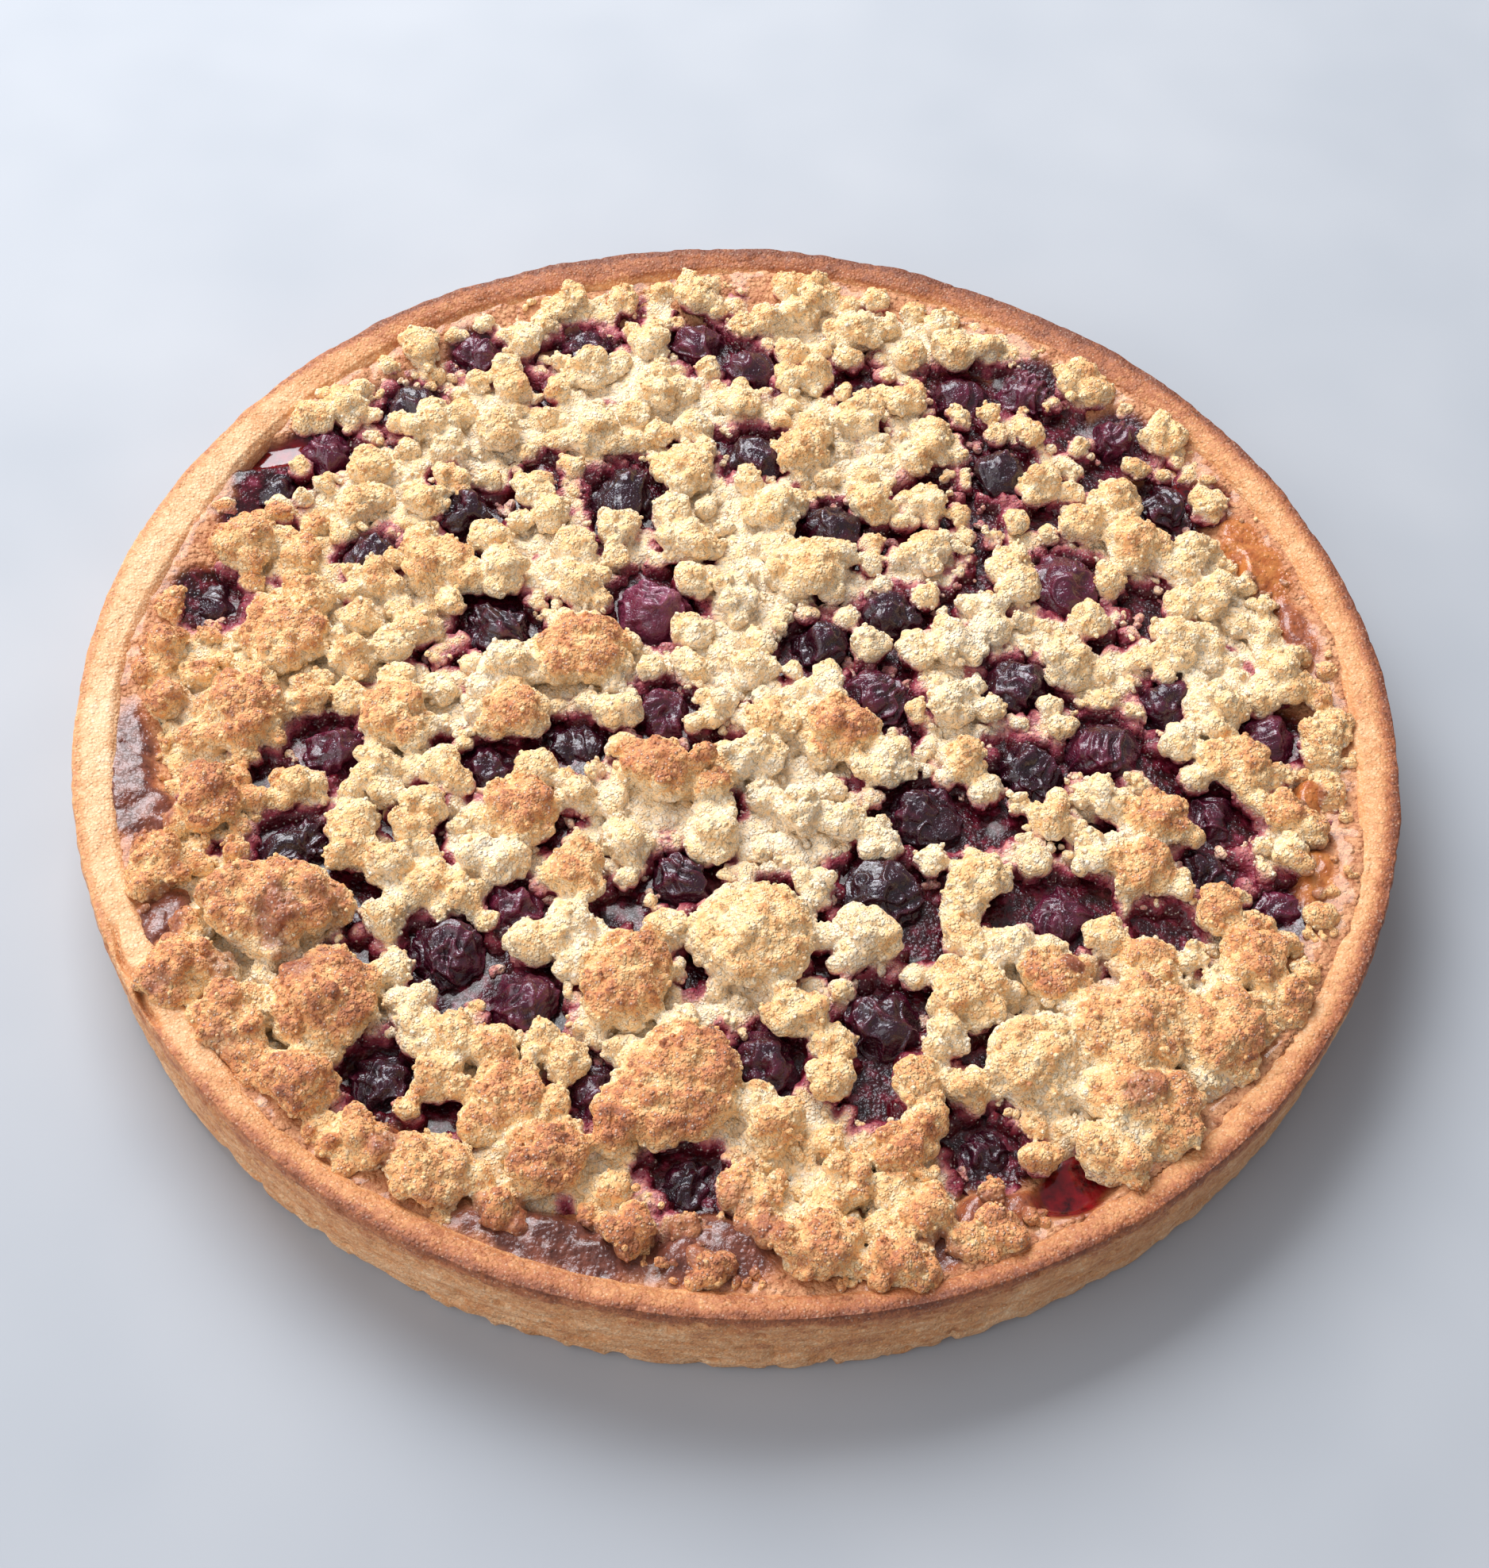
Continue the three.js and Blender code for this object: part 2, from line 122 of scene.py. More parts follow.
# Baked custard that has run over the topping: x, y, length, width, turn, level, amber (0 to 1).
CUSTARD_RUNS = [
    (-107, -24, 36, 9, 101, 19.6, 0.1), (-101, -31, 11, 6, 110, 19.4, 0.2),
    (-96, -54, 17, 8, 68, 20.6, 0.2), (-54, -92, 10, 6, 40, 20.2, 0.25),
    (-25, -107, 34, 11, 167, 20.4, 0.08), (2, -107, 24, 13, 0, 20.6, 0.12),
    (33, -106, 18, 8, 17, 20.0, 0.15), (46, -97, 20, 8, 22, 20.0, 0.4),
    (103, -12, 11, 6, 82, 20.0, 0.7), (103, -28, 13, 6, 75, 20.0, 0.75),
    (97, 45, 24, 9, 115, 20.4, 0.7), (104, 28, 16, 6, 105, 20.0, 0.4),
]  # fmt: skip

# Clear red jelly between crumbs and along the wall: x, y, length, width, turn.
JELLIES = [
    (60, -90, 20, 11, 38), (-97, 54, 29, 7, 24), (87, 62, 15, 5, 170), (-71, 73, 8, 6, 40),
    (-3, 89, 9, 6, 150), (40, 88, 8, 5, 10),
]  # fmt: skip

# Brown glossy spots on top of clumps: x, y, radius, strength.
GLAZED_SPOTS = [
    (-76, -55, 6, 0.7), (-71, -63, 5, 0.6), (-84, -62, 4, 0.6), (-93, -68, 3, 0.6),
    (-81, -78, 4, 0.5), (-95, -55, 5, 0.9), (70, -76, 5, 0.6), (59, -52, 3, 0.9),
    (63, -53, 6, 0.4), (4, -99, 5, 0.5), (-68, -50, 5, 0.5), (-100, -8, 5, 0.4),
    (-97, -22, 5, 0.4), (10, -104, 5, 0.5), (-52, -94, 4, 0.7),
]  # fmt: skip


# ---- Numbers: noise and smooth steps ----


def smooth(low, high, value):
    """0 below low, 1 above high, and a smooth step between them."""
    t = np.clip((value - low) / (high - low), 0.0, 1.0)
    return t * t * (3.0 - 2.0 * t)


def hashed(x, y, z, seed):
    """A repeatable number from 0 to 1 for each whole-numbered place."""
    h = (x * 374761393 + y * 668265263 + z * 1440662683 + seed * 1274126177) & 0xFFFFFFFF
    h = ((h ^ (h >> 13)) * 1274126177) & 0xFFFFFFFF
    h = ((h ^ (h >> 16)) * 668265263) & 0xFFFFFFFF
    return ((h ^ (h >> 15)) & 0xFFFFFFFF) / 4294967295.0


def cloud(points, size, seed, octaves=1):
    """Smooth noise from -1 to 1 whose blobs are about size wide."""
    total = np.zeros(len(points))
    for octave in range(octaves):
        scaled = points / size * 2.0**octave
        base = np.floor(scaled).astype(np.int64)
        part = scaled - base
        part = part * part * (3.0 - 2.0 * part)
        value = np.zeros(len(points))
        for corner in range(8):
            step = np.array([corner & 1, corner >> 1 & 1, corner >> 2 & 1])
            share = np.where(step, part, 1.0 - part).prod(1)
            value += share * hashed(*(base + step).T, seed + 17 * octave)
        total += (2.0 * value - 1.0) * 0.5**octave
    return total / (2.0 - 2.0 ** (1 - octaves))


def cells(points, size, seed):
    """Distance to the nearest of scattered seeds, in sizes, and a random number for that seed."""
    scaled = points / size
    base = np.floor(scaled - 0.5).astype(np.int64)
    nearest = np.full(len(points), 9.0)
    each = np.zeros(len(points))
    for shift in np.ndindex(2, 2, 2):
        cell = base + np.array(shift)
        spot = np.stack([hashed(*cell.T, seed + k) for k in range(3)], 1)
        away = cell + 0.15 + 0.7 * spot - scaled
        distance = np.sqrt((away * away).sum(1))
        each = np.where(distance < nearest, 7 * spot[:, 0] % 1, each)
        nearest = np.minimum(nearest, distance)
    return nearest, each


# ---- The tart's plan ----


def in_plan(x, y):
    """Places on the plan as points, for noise that is the same at every height."""
    return np.stack([x, y, np.zeros_like(x)], 1)


def rim_width(azimuth):
    lopsided = 0.8 * np.cos(2 * azimuth) + 0.5 * np.sin(azimuth) - 0.4 * np.cos(azimuth)
    hand = 0.5 * np.sin(7 * azimuth + 1) + 0.35 * np.sin(13 * azimuth + 2)
    return RIM_WIDTH + lopsided + hand


def rim_height(azimuth):
    return RIM_HEIGHT + 0.3 * np.sin(3 * azimuth + 0.5) + 0.2 * np.sin(8 * azimuth + 2)


def inner_radius(azimuth):
    return RIM_RADIUS - rim_width(azimuth)


def bare_edge(azimuth):
    """How far the topping stops short of the wall."""
    degrees = np.degrees(azimuth) % 360
    depth = np.zeros_like(degrees)
    for middle, half, deep in BARE_EDGES:
        away = np.minimum(np.abs(degrees - middle) / half, 1.0)
        depth = np.maximum(depth, deep * np.cos(away * math.pi / 2))
    return depth


def turned_reach(x, y, spot):
    """How far out a place lies in a turned oval, from 0 at its middle to 1 at its edge."""
    mid_x, mid_y, length, width, turn = spot[:5]
    c, s = math.cos(math.radians(turn)), math.sin(math.radians(turn))
    along = (x - mid_x) * c + (y - mid_y) * s
    across = (y - mid_y) * c - (x - mid_x) * s
    return np.hypot(along / (length / 2), across / (width / 2))


def cherry_places():
    """Middle, radius, half height and width seen of each cherry, in millimetres."""
    places = []
    for number, seen in enumerate(SEEN, 1):
        low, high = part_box(f"cherry_{number:02d}")
        middle = (low + high) / 2 / MM
        size = (high - low) / MM
        places.append((middle.x, middle.y, middle.z, (size.x + size.y) / 4, size.z / 2, seen))
    return places


CHERRIES = cherry_places()


def cherry_distance(x, y):
    """Distance in plan to the edge of the nearest cherry that shows, negative over it."""
    nearest = np.full(np.shape(x), 99.0)
    for mid_x, mid_y, _, radius, _, seen in CHERRIES:
        edge = min(radius, seen / 2)
        nearest = np.minimum(nearest, np.hypot(x - mid_x, y - mid_y) - edge)
    return nearest


def opening_distance(x, y):
    nearest = np.full(np.shape(x), 99.0)
    for mid_x, mid_y, width in OPENINGS:
        nearest = np.minimum(nearest, np.hypot(x - mid_x, y - mid_y) - width / 2)
    return nearest


def gap_distance(x, y):
    """Distance in plan to the edge of the nearest cherry or dark gap."""
    return np.minimum(cherry_distance(x, y), opening_distance(x, y))


def run_reach(x, y):
    """How far out a place lies in the nearest run of custard."""
    return np.min([turned_reach(x, y, run) for run in CUSTARD_RUNS], axis=0)


def jelly_reach(x, y):
    """How far out a place lies in the nearest pool of jelly."""
    return np.min([turned_reach(x, y, pool) for pool in JELLIES], axis=0)


def sparseness(x, y):
    """How loosely the crumbs lie: above 0 the juice shows between them."""
    closed = 0.34 + 0.25 * smooth(60, 100, -y) + 0.22 * smooth(45, 95, -x) * (y < 45)
    return cloud(in_plan(x, y), 7.5, 57, 2) - closed


# ---- Meshes ----


def select_only(piece):
    bpy.ops.object.select_all(action="DESELECT")
    piece.select_set(True)
    bpy.context.view_layer.objects.active = piece


def named(name):
    """The object that an operator has just made, under its name."""
    made = bpy.context.object
    made.name = made.data.name = name
    return made


def points_of(piece):
    co = np.empty(len(piece.data.vertices) * 3)
    piece.data.vertices.foreach_get("co", co)
    return co.reshape(-1, 3) / MM


def set_points(piece, points):
    piece.data.vertices.foreach_set("co", (points * MM).ravel())
    piece.data.update()


def normals_of(piece):
    no = np.empty(len(piece.data.vertices) * 3, np.float32)
    piece.data.vertices.foreach_get("normal", no)
    return no.reshape(-1, 3).astype(float)


def paint(piece, name, values):
    """Keeps a number from 0 to 1 at each vertex, which the piece's material reads."""
    layer = piece.data.attributes.new(name, "FLOAT", "POINT")
    layer.data.foreach_set("value", np.clip(values, 0.0, 1.0).astype(np.float32))


def apply_modifier(piece, kind, **settings):
    select_only(piece)
    modifier = piece.modifiers.new(kind.title(), kind)
    for key, value in settings.items():
        setattr(modifier, key, value)
    bpy.ops.object.modifier_apply(modifier=modifier.name)


def delete_points(piece, gone):
    """Deletes the points that a list of true and false marks."""
    select_only(piece)
    bpy.ops.object.mode_set(mode="EDIT")
    bpy.ops.mesh.select_mode(type="VERT")
    bpy.ops.mesh.select_all(action="DESELECT")
    bpy.ops.object.mode_set(mode="OBJECT")
    piece.data.vertices.foreach_set("select", gone)
    bpy.ops.object.mode_set(mode="EDIT")
    bpy.ops.mesh.delete(type="VERT")
    bpy.ops.object.mode_set(mode="OBJECT")


def close_below(piece, level):
    """Extrudes an open sheet's edge straight down to a level and closes it there."""
    tops = len(piece.data.vertices)
    select_only(piece)
    bpy.ops.object.mode_set(mode="EDIT")
    bpy.ops.mesh.select_mode(type="VERT")
    bpy.ops.mesh.select_all(action="DESELECT")
    bpy.ops.mesh.select_non_manifold()
    bpy.ops.mesh.extrude_region_move()
    bpy.ops.object.mode_set(mode="OBJECT")
    points = points_of(piece)
    points[tops:, 2] = level
    set_points(piece, points)
    bpy.ops.object.mode_set(mode="EDIT")
    bpy.ops.mesh.extrude_region_move()
    bpy.ops.mesh.merge(type="CENTER")
    bpy.ops.mesh.select_all(action="SELECT")
    bpy.ops.mesh.normals_make_consistent(inside=False)
    bpy.ops.object.mode_set(mode="OBJECT")


def finish_piece(piece, material, slot, *nodes):
    select_only(piece)
    bpy.ops.object.shade_smooth()
    piece.data.materials.clear()
    piece.data.materials.append(material)
    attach(piece, "root")
    if nodes:
        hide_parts(*nodes)
    return piece


def ball(subdivisions):
    """Points and faces of a ball of radius 1, to be copied into heaps."""
    bpy.ops.mesh.primitive_ico_sphere_add(subdivisions=subdivisions, radius=1.0)
    model = bpy.context.object
    points = np.array([vertex.co for vertex in model.data.vertices])
    faces = np.array([face.vertices for face in model.data.polygons])
    bpy.data.objects.remove(model)
    return points, faces


def heap(name, lumps, model):
    """Joins copies of a ball. Each lump is x, y, z, its three half sizes and its turn in radians."""
    lumps = np.array(lumps)
    points, faces = model
    scaled = points[None] * lumps[:, None, 3:6]
    c, s = np.cos(lumps[:, 6])[:, None], np.sin(lumps[:, 6])[:, None]
    turned = scaled.copy()
    turned[..., 0] = scaled[..., 0] * c - scaled[..., 1] * s
    turned[..., 1] = scaled[..., 0] * s + scaled[..., 1] * c
    all_points = (turned + lumps[:, None, :3]).reshape(-1, 3)
    starts = len(points) * np.arange(len(lumps))
    all_faces = (faces[None] + starts[:, None, None]).reshape(-1, 3)
    mesh = bpy.data.meshes.new(name)
    mesh.vertices.add(len(all_points))
    mesh.vertices.foreach_set("co", (all_points * MM).ravel())
    mesh.loops.add(all_faces.size)
    mesh.loops.foreach_set("vertex_index", all_faces.ravel().astype(np.int32))
    mesh.polygons.add(len(all_faces))
    mesh.polygons.foreach_set("loop_start", np.arange(0, all_faces.size, 3, dtype=np.int32))
    mesh.update(calc_edges=True)
    made = bpy.data.objects.new(name, mesh)
    bpy.context.scene.collection.objects.link(made)
    return made


# ---- Materials ----


def rgb(code):
    """An sRGB hex colour as linear red, green, blue and alpha."""
    values = [int(code[i : i + 2], 16) / 255 for i in (1, 3, 5)]
    return [v / 12.92 if v <= 0.04045 else ((v + 0.055) / 1.055) ** 2.4 for v in values] + [1.0]


def node(tree, kind, inputs, **settings):
    """Adds a node. Its inputs are values or other nodes' outputs, by name or number."""
    made = tree.nodes.new("ShaderNode" + kind)
    for key, value in settings.items():
        setattr(made, key, value)
    for key, value in inputs.items():
        if isinstance(value, bpy.types.NodeSocket):
            tree.links.new(value, made.inputs[key])
        else:
            made.inputs[key].default_value = value
    return made


def new_material(name, roughness=0.5, ior=1.45):
    """A material with one shader, and its tree."""
    material = bpy.data.materials.new(name)
    material.use_nodes = True
    tree = material.node_tree
    tree.nodes.clear()
    shader = node(tree, "BsdfPrincipled", {"Roughness": roughness, "IOR": ior})
    node(tree, "OutputMaterial", {"Surface": shader.outputs[0]})
    return material, tree, shader


def ramp(tree, factor, stops):
    made = node(tree, "ValToRGB", {0: factor})
    elements = made.color_ramp.elements
    while len(elements) < len(stops):
        elements.new(0.5)
    for element, (place, code) in zip(elements, stops):
        element.position = place
        element.color = rgb(code)
    return made.outputs[0]


def painted(tree, name):
    return node(tree, "Attribute", {}, attribute_name=name).outputs["Fac"]


def grain(tree, size_mm, detail=2.0, roughness=0.6):
    """Noise from 0 to 1 with blobs about that size."""
    place = node(tree, "TexCoord", {}).outputs["Object"]
    scale = 1 / (size_mm * MM)
    inputs = {"Vector": place, "Scale": scale, "Detail": detail, "Roughness": roughness}
    return node(tree, "TexNoise", inputs).outputs[0]


def granules(tree, size_mm):
    """Separate round granules of a size, as heights from 0 to 1, and a random number for each."""
    place = node(tree, "TexCoord", {}).outputs["Object"]
    texture = node(tree, "TexVoronoi", {"Vector": place, "Scale": 1 / (size_mm * MM)})
    squared = maths(tree, "MULTIPLY", texture.outputs[0], texture.outputs[0])
    height = added(tree, 1.0, (-4.0, squared))
    each = node(tree, "SeparateColor", {0: texture.outputs[1]}).outputs[0]
    return maths(tree, "MAXIMUM", height, 0.0), each


def centred(tree, value):
    return maths(tree, "SUBTRACT", value, 0.5)


def maths(tree, operation, *values):
    return node(tree, "Math", dict(enumerate(values)), operation=operation).outputs[0]


def added(tree, base, *parts):
    """A value with shares of others added to it. Each part is a share and a value."""
    for share, value in parts:
        base = maths(tree, "MULTIPLY_ADD", value, share, base)
    return base


def span(tree, value, low, high, to_low=0.0, to_high=1.0):
    """A value stretched from one range to another and kept inside it."""
    inputs = {0: value, 1: low, 2: high, 3: to_low, 4: to_high}
    return node(tree, "MapRange", inputs, interpolation_type="SMOOTHSTEP").outputs[0]


def blend(tree, factor, first, second, mode="MIX"):
    inputs = {0: factor, 6: first, 7: second}
    return node(tree, "Mix", inputs, data_type="RGBA", blend_type=mode).outputs[2]


def relief(tree, shader, height, depth_mm, strength=1.0):
    inputs = {"Height": height, "Distance": depth_mm * MM, "Strength": strength}
    tree.links.new(node(tree, "Bump", inputs).outputs[0], shader.inputs["Normal"])


def wet_look(shader, tint, weight, roughness):
    """Cool reflections and a thin wet coat."""
    shader.inputs["Specular Tint"].default_value = (*tint, 1.0)
    shader.inputs["Coat Weight"].default_value = weight
    shader.inputs["Coat Roughness"].default_value = roughness


def link(tree, output, shader, socket):
    tree.links.new(output, shader.inputs[socket])


def streusel_finish():
    """Baked streusel of butter, flour and sugar: sandy, pale where it lay low and toasted on its
    tops, crimson to pink where juice has soaked in, shiny brown under baked custard. The hollows
    between its grains are darkened with painted shade, and its white specks are pale sugar with
    painted glints."""
    material, tree, shader = new_material("baked_streusel")
    sand = centred(tree, grain(tree, 0.9, 4.0, 0.75))
    blotch = centred(tree, grain(tree, 3.6, 2.0))
    beads, bead_tone = granules(tree, 1.0)
    specks, speck_tone = granules(tree, 0.55)
    toast = added(tree, painted(tree, "toast"), (0.30, sand), (0.34, blotch))
    toast = added(tree, toast, (0.20, centred(tree, bead_tone)), (0.14, centred(tree, speck_tone)))
    stops = [
        (0.0, "#fff8e8"), (0.18, "#fff0d0"), (0.38, "#fbdaa6"), (0.56, "#e9b27f"),
        (0.75, "#c4835f"), (1.0, "#7f4f3f"),
    ]  # fmt: skip
    colour = ramp(tree, toast, stops)
    stain = added(tree, painted(tree, "stain"), (0.3, sand), (0.5, blotch))
    soaked = ramp(tree, stain, [(0.15, "#f0d3c6"), (0.4, "#cf8f98"), (0.65, "#8c2c46"), (0.9, "#480817")])
    colour = blend(tree, span(tree, stain, 0.08, 0.45), colour, soaked)
    shine = added(tree, painted(tree, "glaze"), (0.6, sand))
    skin = ramp(tree, grain(tree, 2.0, 3.0), [(0.3, "#784439"), (0.5, "#96594a"), (0.7, "#bd8362")])
    colour = blend(tree, span(tree, shine, 0.1, 0.85, 0.0, 0.9), colour, skin)
    # Painted shade: the hollows between the grains are darkened to a warm tan.
    hollow_shade = maths(tree, "SUBTRACT", 1.0, maths(tree, "MAXIMUM", beads, specks))
    colour = blend(tree, maths(tree, "MULTIPLY", hollow_shade, 0.5), colour, rgb("#f5cc90"), "MULTIPLY")
    # Pale sugar specks with painted glints: a few grain tops are whitened.
    sugar_and_glint = maths(tree, "MULTIPLY", specks, span(tree, speck_tone, 0.8, 0.88))
    colour = blend(tree, maths(tree, "MULTIPLY", sugar_and_glint, 0.5), colour, rgb("#fff6e8"))
    link(tree, colour, shader, "Base Color")
    wet = maths(tree, "MAXIMUM", shine, maths(tree, "SUBTRACT", stain, 0.15))
    link(tree, span(tree, wet, 0.3, 0.8, 0.68, 0.24), shader, "Roughness")
    shader.inputs["Specular Tint"].default_value = (0.9, 0.94, 1.0, 1.0)
    grit = added(tree, beads, (0.9, specks), (0.4, grain(tree, 0.6, 2.0, 0.6)))
    soaked_in = maths(tree, "SUBTRACT", painted(tree, "stain"), 0.15)
    smooth = maths(tree, "MAXIMUM", painted(tree, "glaze"), soaked_in)
    grit = maths(tree, "MULTIPLY", grit, span(tree, smooth, 0.2, 0.8, 1.0, 0.3))
    relief(tree, shader, grit, 0.28)
    return material


def shortcrust_finish():
    """Shortcrust baked against a tin: sandy and golden on the rim, paler and finely pitted on the
    wall, browned along the outer edge of the rim. The rim also carries painted light on its left
    and painted shade at its front, back and right; the hollows between grains are darkened with
    painted shade, and the white specks are pale sugar with painted glints."""
    material, tree, shader = new_material("baked_shortcrust", roughness=0.55)
    sand = centred(tree, grain(tree, 0.8, 4.0, 0.75))
    cloudy = centred(tree, grain(tree, 7.0, 3.0))
    beads, bead_tone = granules(tree, 0.85)
    specks, speck_tone = granules(tree, 0.5)
    # The brown attribute holds real browning and the rim's painted light and shade.
    brown = added(tree, painted(tree, "brown"), (0.32, sand), (0.40, cloudy))
    brown = added(tree, brown, (0.16, centred(tree, bead_tone)))
    stops = [(0.0, "#fde9cd"), (0.25, "#f4d0a6"), (0.5, "#dca572"), (0.75, "#b17049"), (1.0, "#78442e")]
    colour = ramp(tree, brown, stops)
    # Painted shade: the hollows between the grains are darkened.
    hollow_shade = maths(tree, "SUBTRACT", 1.0, maths(tree, "MAXIMUM", beads, specks))
    colour = blend(tree, maths(tree, "MULTIPLY", hollow_shade, 0.4), colour, rgb("#e8b488"), "MULTIPLY")
    # Pale sugar specks with painted glints: a few grain tops are whitened.
    sugar_and_glint = maths(tree, "MULTIPLY", specks, span(tree, speck_tone, 0.78, 0.86))
    colour = blend(tree, maths(tree, "MULTIPLY", sugar_and_glint, 0.22), colour, rgb("#ffeed8"))
    link(tree, colour, shader, "Base Color")
    relief(tree, shader, added(tree, beads, (0.5, specks), (0.8, sand)), 0.13)
    return material


def custard_finish():
    """Egg custard with cherry juice: its skin is a shiny mauve brown with fine bubbles where juice
    has dried on it, amber where it is thick, dry and crusty along the wall, crimson juice under
    the crumbs and clear dark red jelly in its pools."""
    material, tree, shader = new_material("baked_custard", ior=1.42)
    blotch = centred(tree, grain(tree, 2.4, 3.0))
    sand = centred(tree, grain(tree, 0.9, 3.0, 0.75))
    bubbles, _ = granules(tree, 1.1)
    dry, jelly = painted(tree, "dry"), painted(tree, "jelly")
    skin = added(tree, painted(tree, "amber"), (0.8, blotch))
    glossy = ramp(tree, skin, [(0.0, "#573028"), (0.3, "#864c3b"), (0.6, "#b06030"), (1.0, "#d6924f")])
    dryness = added(tree, 0.5, (0.8, blotch), (0.7, sand))
    crusty = ramp(tree, dryness, [(0.0, "#f2d0a2"), (0.35, "#dda376"), (0.65, "#ad6b45"), (1.0, "#70402c")])
    colour = blend(tree, dry, glossy, crusty)
    depth = added(tree, grain(tree, 2.6, 3.0), (0.15, sand))
    juice = ramp(tree, depth, [(0.3, "#190308"), (0.5, "#3d0712"), (0.65, "#6d1a2e"), (0.8, "#9c4f66")])
    colour = blend(tree, painted(tree, "juice"), colour, juice)
    colour = blend(tree, jelly, colour, ramp(tree, depth, [(0.3, "#2a0004"), (0.6, "#7a0811")]))
    link(tree, colour, shader, "Base Color")
    gloss = added(tree, span(tree, dry, 0.2, 0.9, 0.16, 0.6), (-0.1, jelly))
    link(tree, gloss, shader, "Roughness")
    wet_look(shader, (0.84, 0.9, 1.0), 0.4, 0.1)
    bumpy = added(tree, 0.0, (1.6, grain(tree, 1.4, 3.0)), (0.6, bubbles))
    calm = added(tree, 1.0, (1.2, dry), (-0.97, jelly))
    relief(tree, shader, maths(tree, "MULTIPLY", bumpy, calm), 0.24)
    return material


def cherry_finish():
    """Cherry skin, baked and shrivelled: burgundy to near black, shiny over its wrinkles with cool
    reflections, lighter red on the crests of the folds and where the skin is torn."""
    material, tree, shader = new_material("shrivelled_cherry_skin", roughness=0.22, ior=1.5)
    blotch = centred(tree, grain(tree, 2.6, 3.0))
    redness = added(tree, painted(tree, "red"), (0.5, blotch))
    stops = [(0.0, "#16050b"), (0.3, "#34091a"), (0.6, "#641c36"), (1.0, "#9c5570")]
    link(tree, ramp(tree, redness, stops), shader, "Base Color")
    wet_look(shader, (0.78, 0.85, 1.0), 0.5, 0.08)
    creases = maths(tree, "ABSOLUTE", centred(tree, grain(tree, 1.3, 2.0)))
    relief(tree, shader, maths(tree, "MINIMUM", creases, 0.12), 0.9)
    return material


def floor_finish():
    """A plain painted board, pale and matt."""
    material, tree, shader = new_material("pale_paint", roughness=0.9)
    cloudy = grain(tree, 60.0, 2.0)
    link(tree, ramp(tree, cloudy, [(0.3, "#a6acb5"), (0.7, "#aeb3bb")]), shader, "Base Color")
    return material


# ---- The case ----

# Stretches of the case's section: how many rings each has, from the middle of the underside
# round the wall and the rim to the middle of the floor inside.
CASE_STRETCHES = [10, 3, 34, 6, 20, 5, 14, 6]


def case_section(azimuth):
    """Corners of the case's section at each azimuth, as radius and height."""
    top = rim_height(azimuth)
    inner = inner_radius(azimuth)
    none = np.zeros_like(azimuth)
    return np.array([
        (none, none),
        (none + RIM_RADIUS - 2.0, none),
        (none + RIM_RADIUS - 0.8, none + 1.2),
        (none + RIM_RADIUS - 0.1, top - 1.6),
        (none + RIM_RADIUS - 0.5, top + 0.1),
        (inner + 1.2, top - 0.7),
        (inner, top - 2.0),
        (inner - 2.0, none + CASE_FLOOR),
        (none, none + CASE_FLOOR),
    ])  # fmt: skip


def make_crust(finish):
    segments = 900
    rings = sum(CASE_STRETCHES)
    bpy.ops.mesh.primitive_uv_sphere_add(segments=segments, ring_count=rings, radius=1.0)
    crust = named("tart_case")
    unit = points_of(crust) * MM
    azimuth = np.arctan2(unit[:, 1], unit[:, 0])
    ring = np.rint((np.arccos(np.clip(-unit[:, 2], -1, 1)) / math.pi) * rings).astype(int)
    corners = case_section(azimuth)
    ends = np.cumsum([0] + CASE_STRETCHES)
    stretch = np.clip(np.searchsorted(ends, ring, side="right") - 1, 0, len(CASE_STRETCHES) - 1)
    share = (ring - ends[stretch]) / np.array(CASE_STRETCHES)[stretch]
    row = np.arange(len(ring))
    start = corners[stretch, :, row]
    end = corners[stretch + 1, :, row]
    radius, height = (start + (end - start) * share[:, None]).T
    at_rim = (stretch == 4) * np.sin(share * math.pi)
    height = height + 0.25 * at_rim
    points = np.stack([radius * np.cos(azimuth), radius * np.sin(azimuth), height], 1)
    set_points(crust, points)
    apply_modifier(crust, "SMOOTH", factor=0.5, iterations=2)
    points, normals = points_of(crust), normals_of(crust)
    height = points[:, 2]
    wall = smooth(RIM_RADIUS - 3.0, RIM_RADIUS - 1.0, np.hypot(points[:, 0], points[:, 1]))
    wall = wall * smooth(0.5, 1.5, height) * (1 - smooth(RIM_HEIGHT - 1.8, RIM_HEIGHT - 0.8, height))
    rim = smooth(RIM_HEIGHT - 2.5, RIM_HEIGHT - 0.5, height)
    rough = crust_roughness(points, wall, rim)
    below = smooth(0.3, 1.0, height)
    points = points + normals * (rough * below)[:, None]
    points = rim_faults(points)
    set_points(crust, points)
    # The brown attribute holds real browning and the rim's painted light and shade.
    paint(crust, "brown", crust_brown_and_shade(points, azimuth, wall, rim))
    return finish_piece(crust, finish, "crust", "crust")


def crust_roughness(points, wall, rim):
    """Uneven dough all over, with shallow dents and short level streaks on the wall."""
    first, _ = cells(points, 2.6, 11)
    lumpy = 0.22 * (0.5 - first**2) + 0.12 * cloud(points, 2.0, 15)
    crumbly = 0.35 * (0.5 - cells(points / (1.6, 1.6, 1.0), 2.2, 16)[0])
    dents = -0.35 * smooth(0.15, 0.6, cloud(points / (1.8, 1.8, 0.8), 3.0, 12, 2))
    pits = -0.7 * smooth(0.35, 0.6, cloud(points / (1.6, 1.6, 0.7), 1.5, 13))
    waves = 0.5 * cloud(points, 9.0, 14, 2)
    return lumpy + wall * (crumbly + dents + pits) + rim * (waves + 0.3 * pits) + (1 - rim) * 0.3 * waves


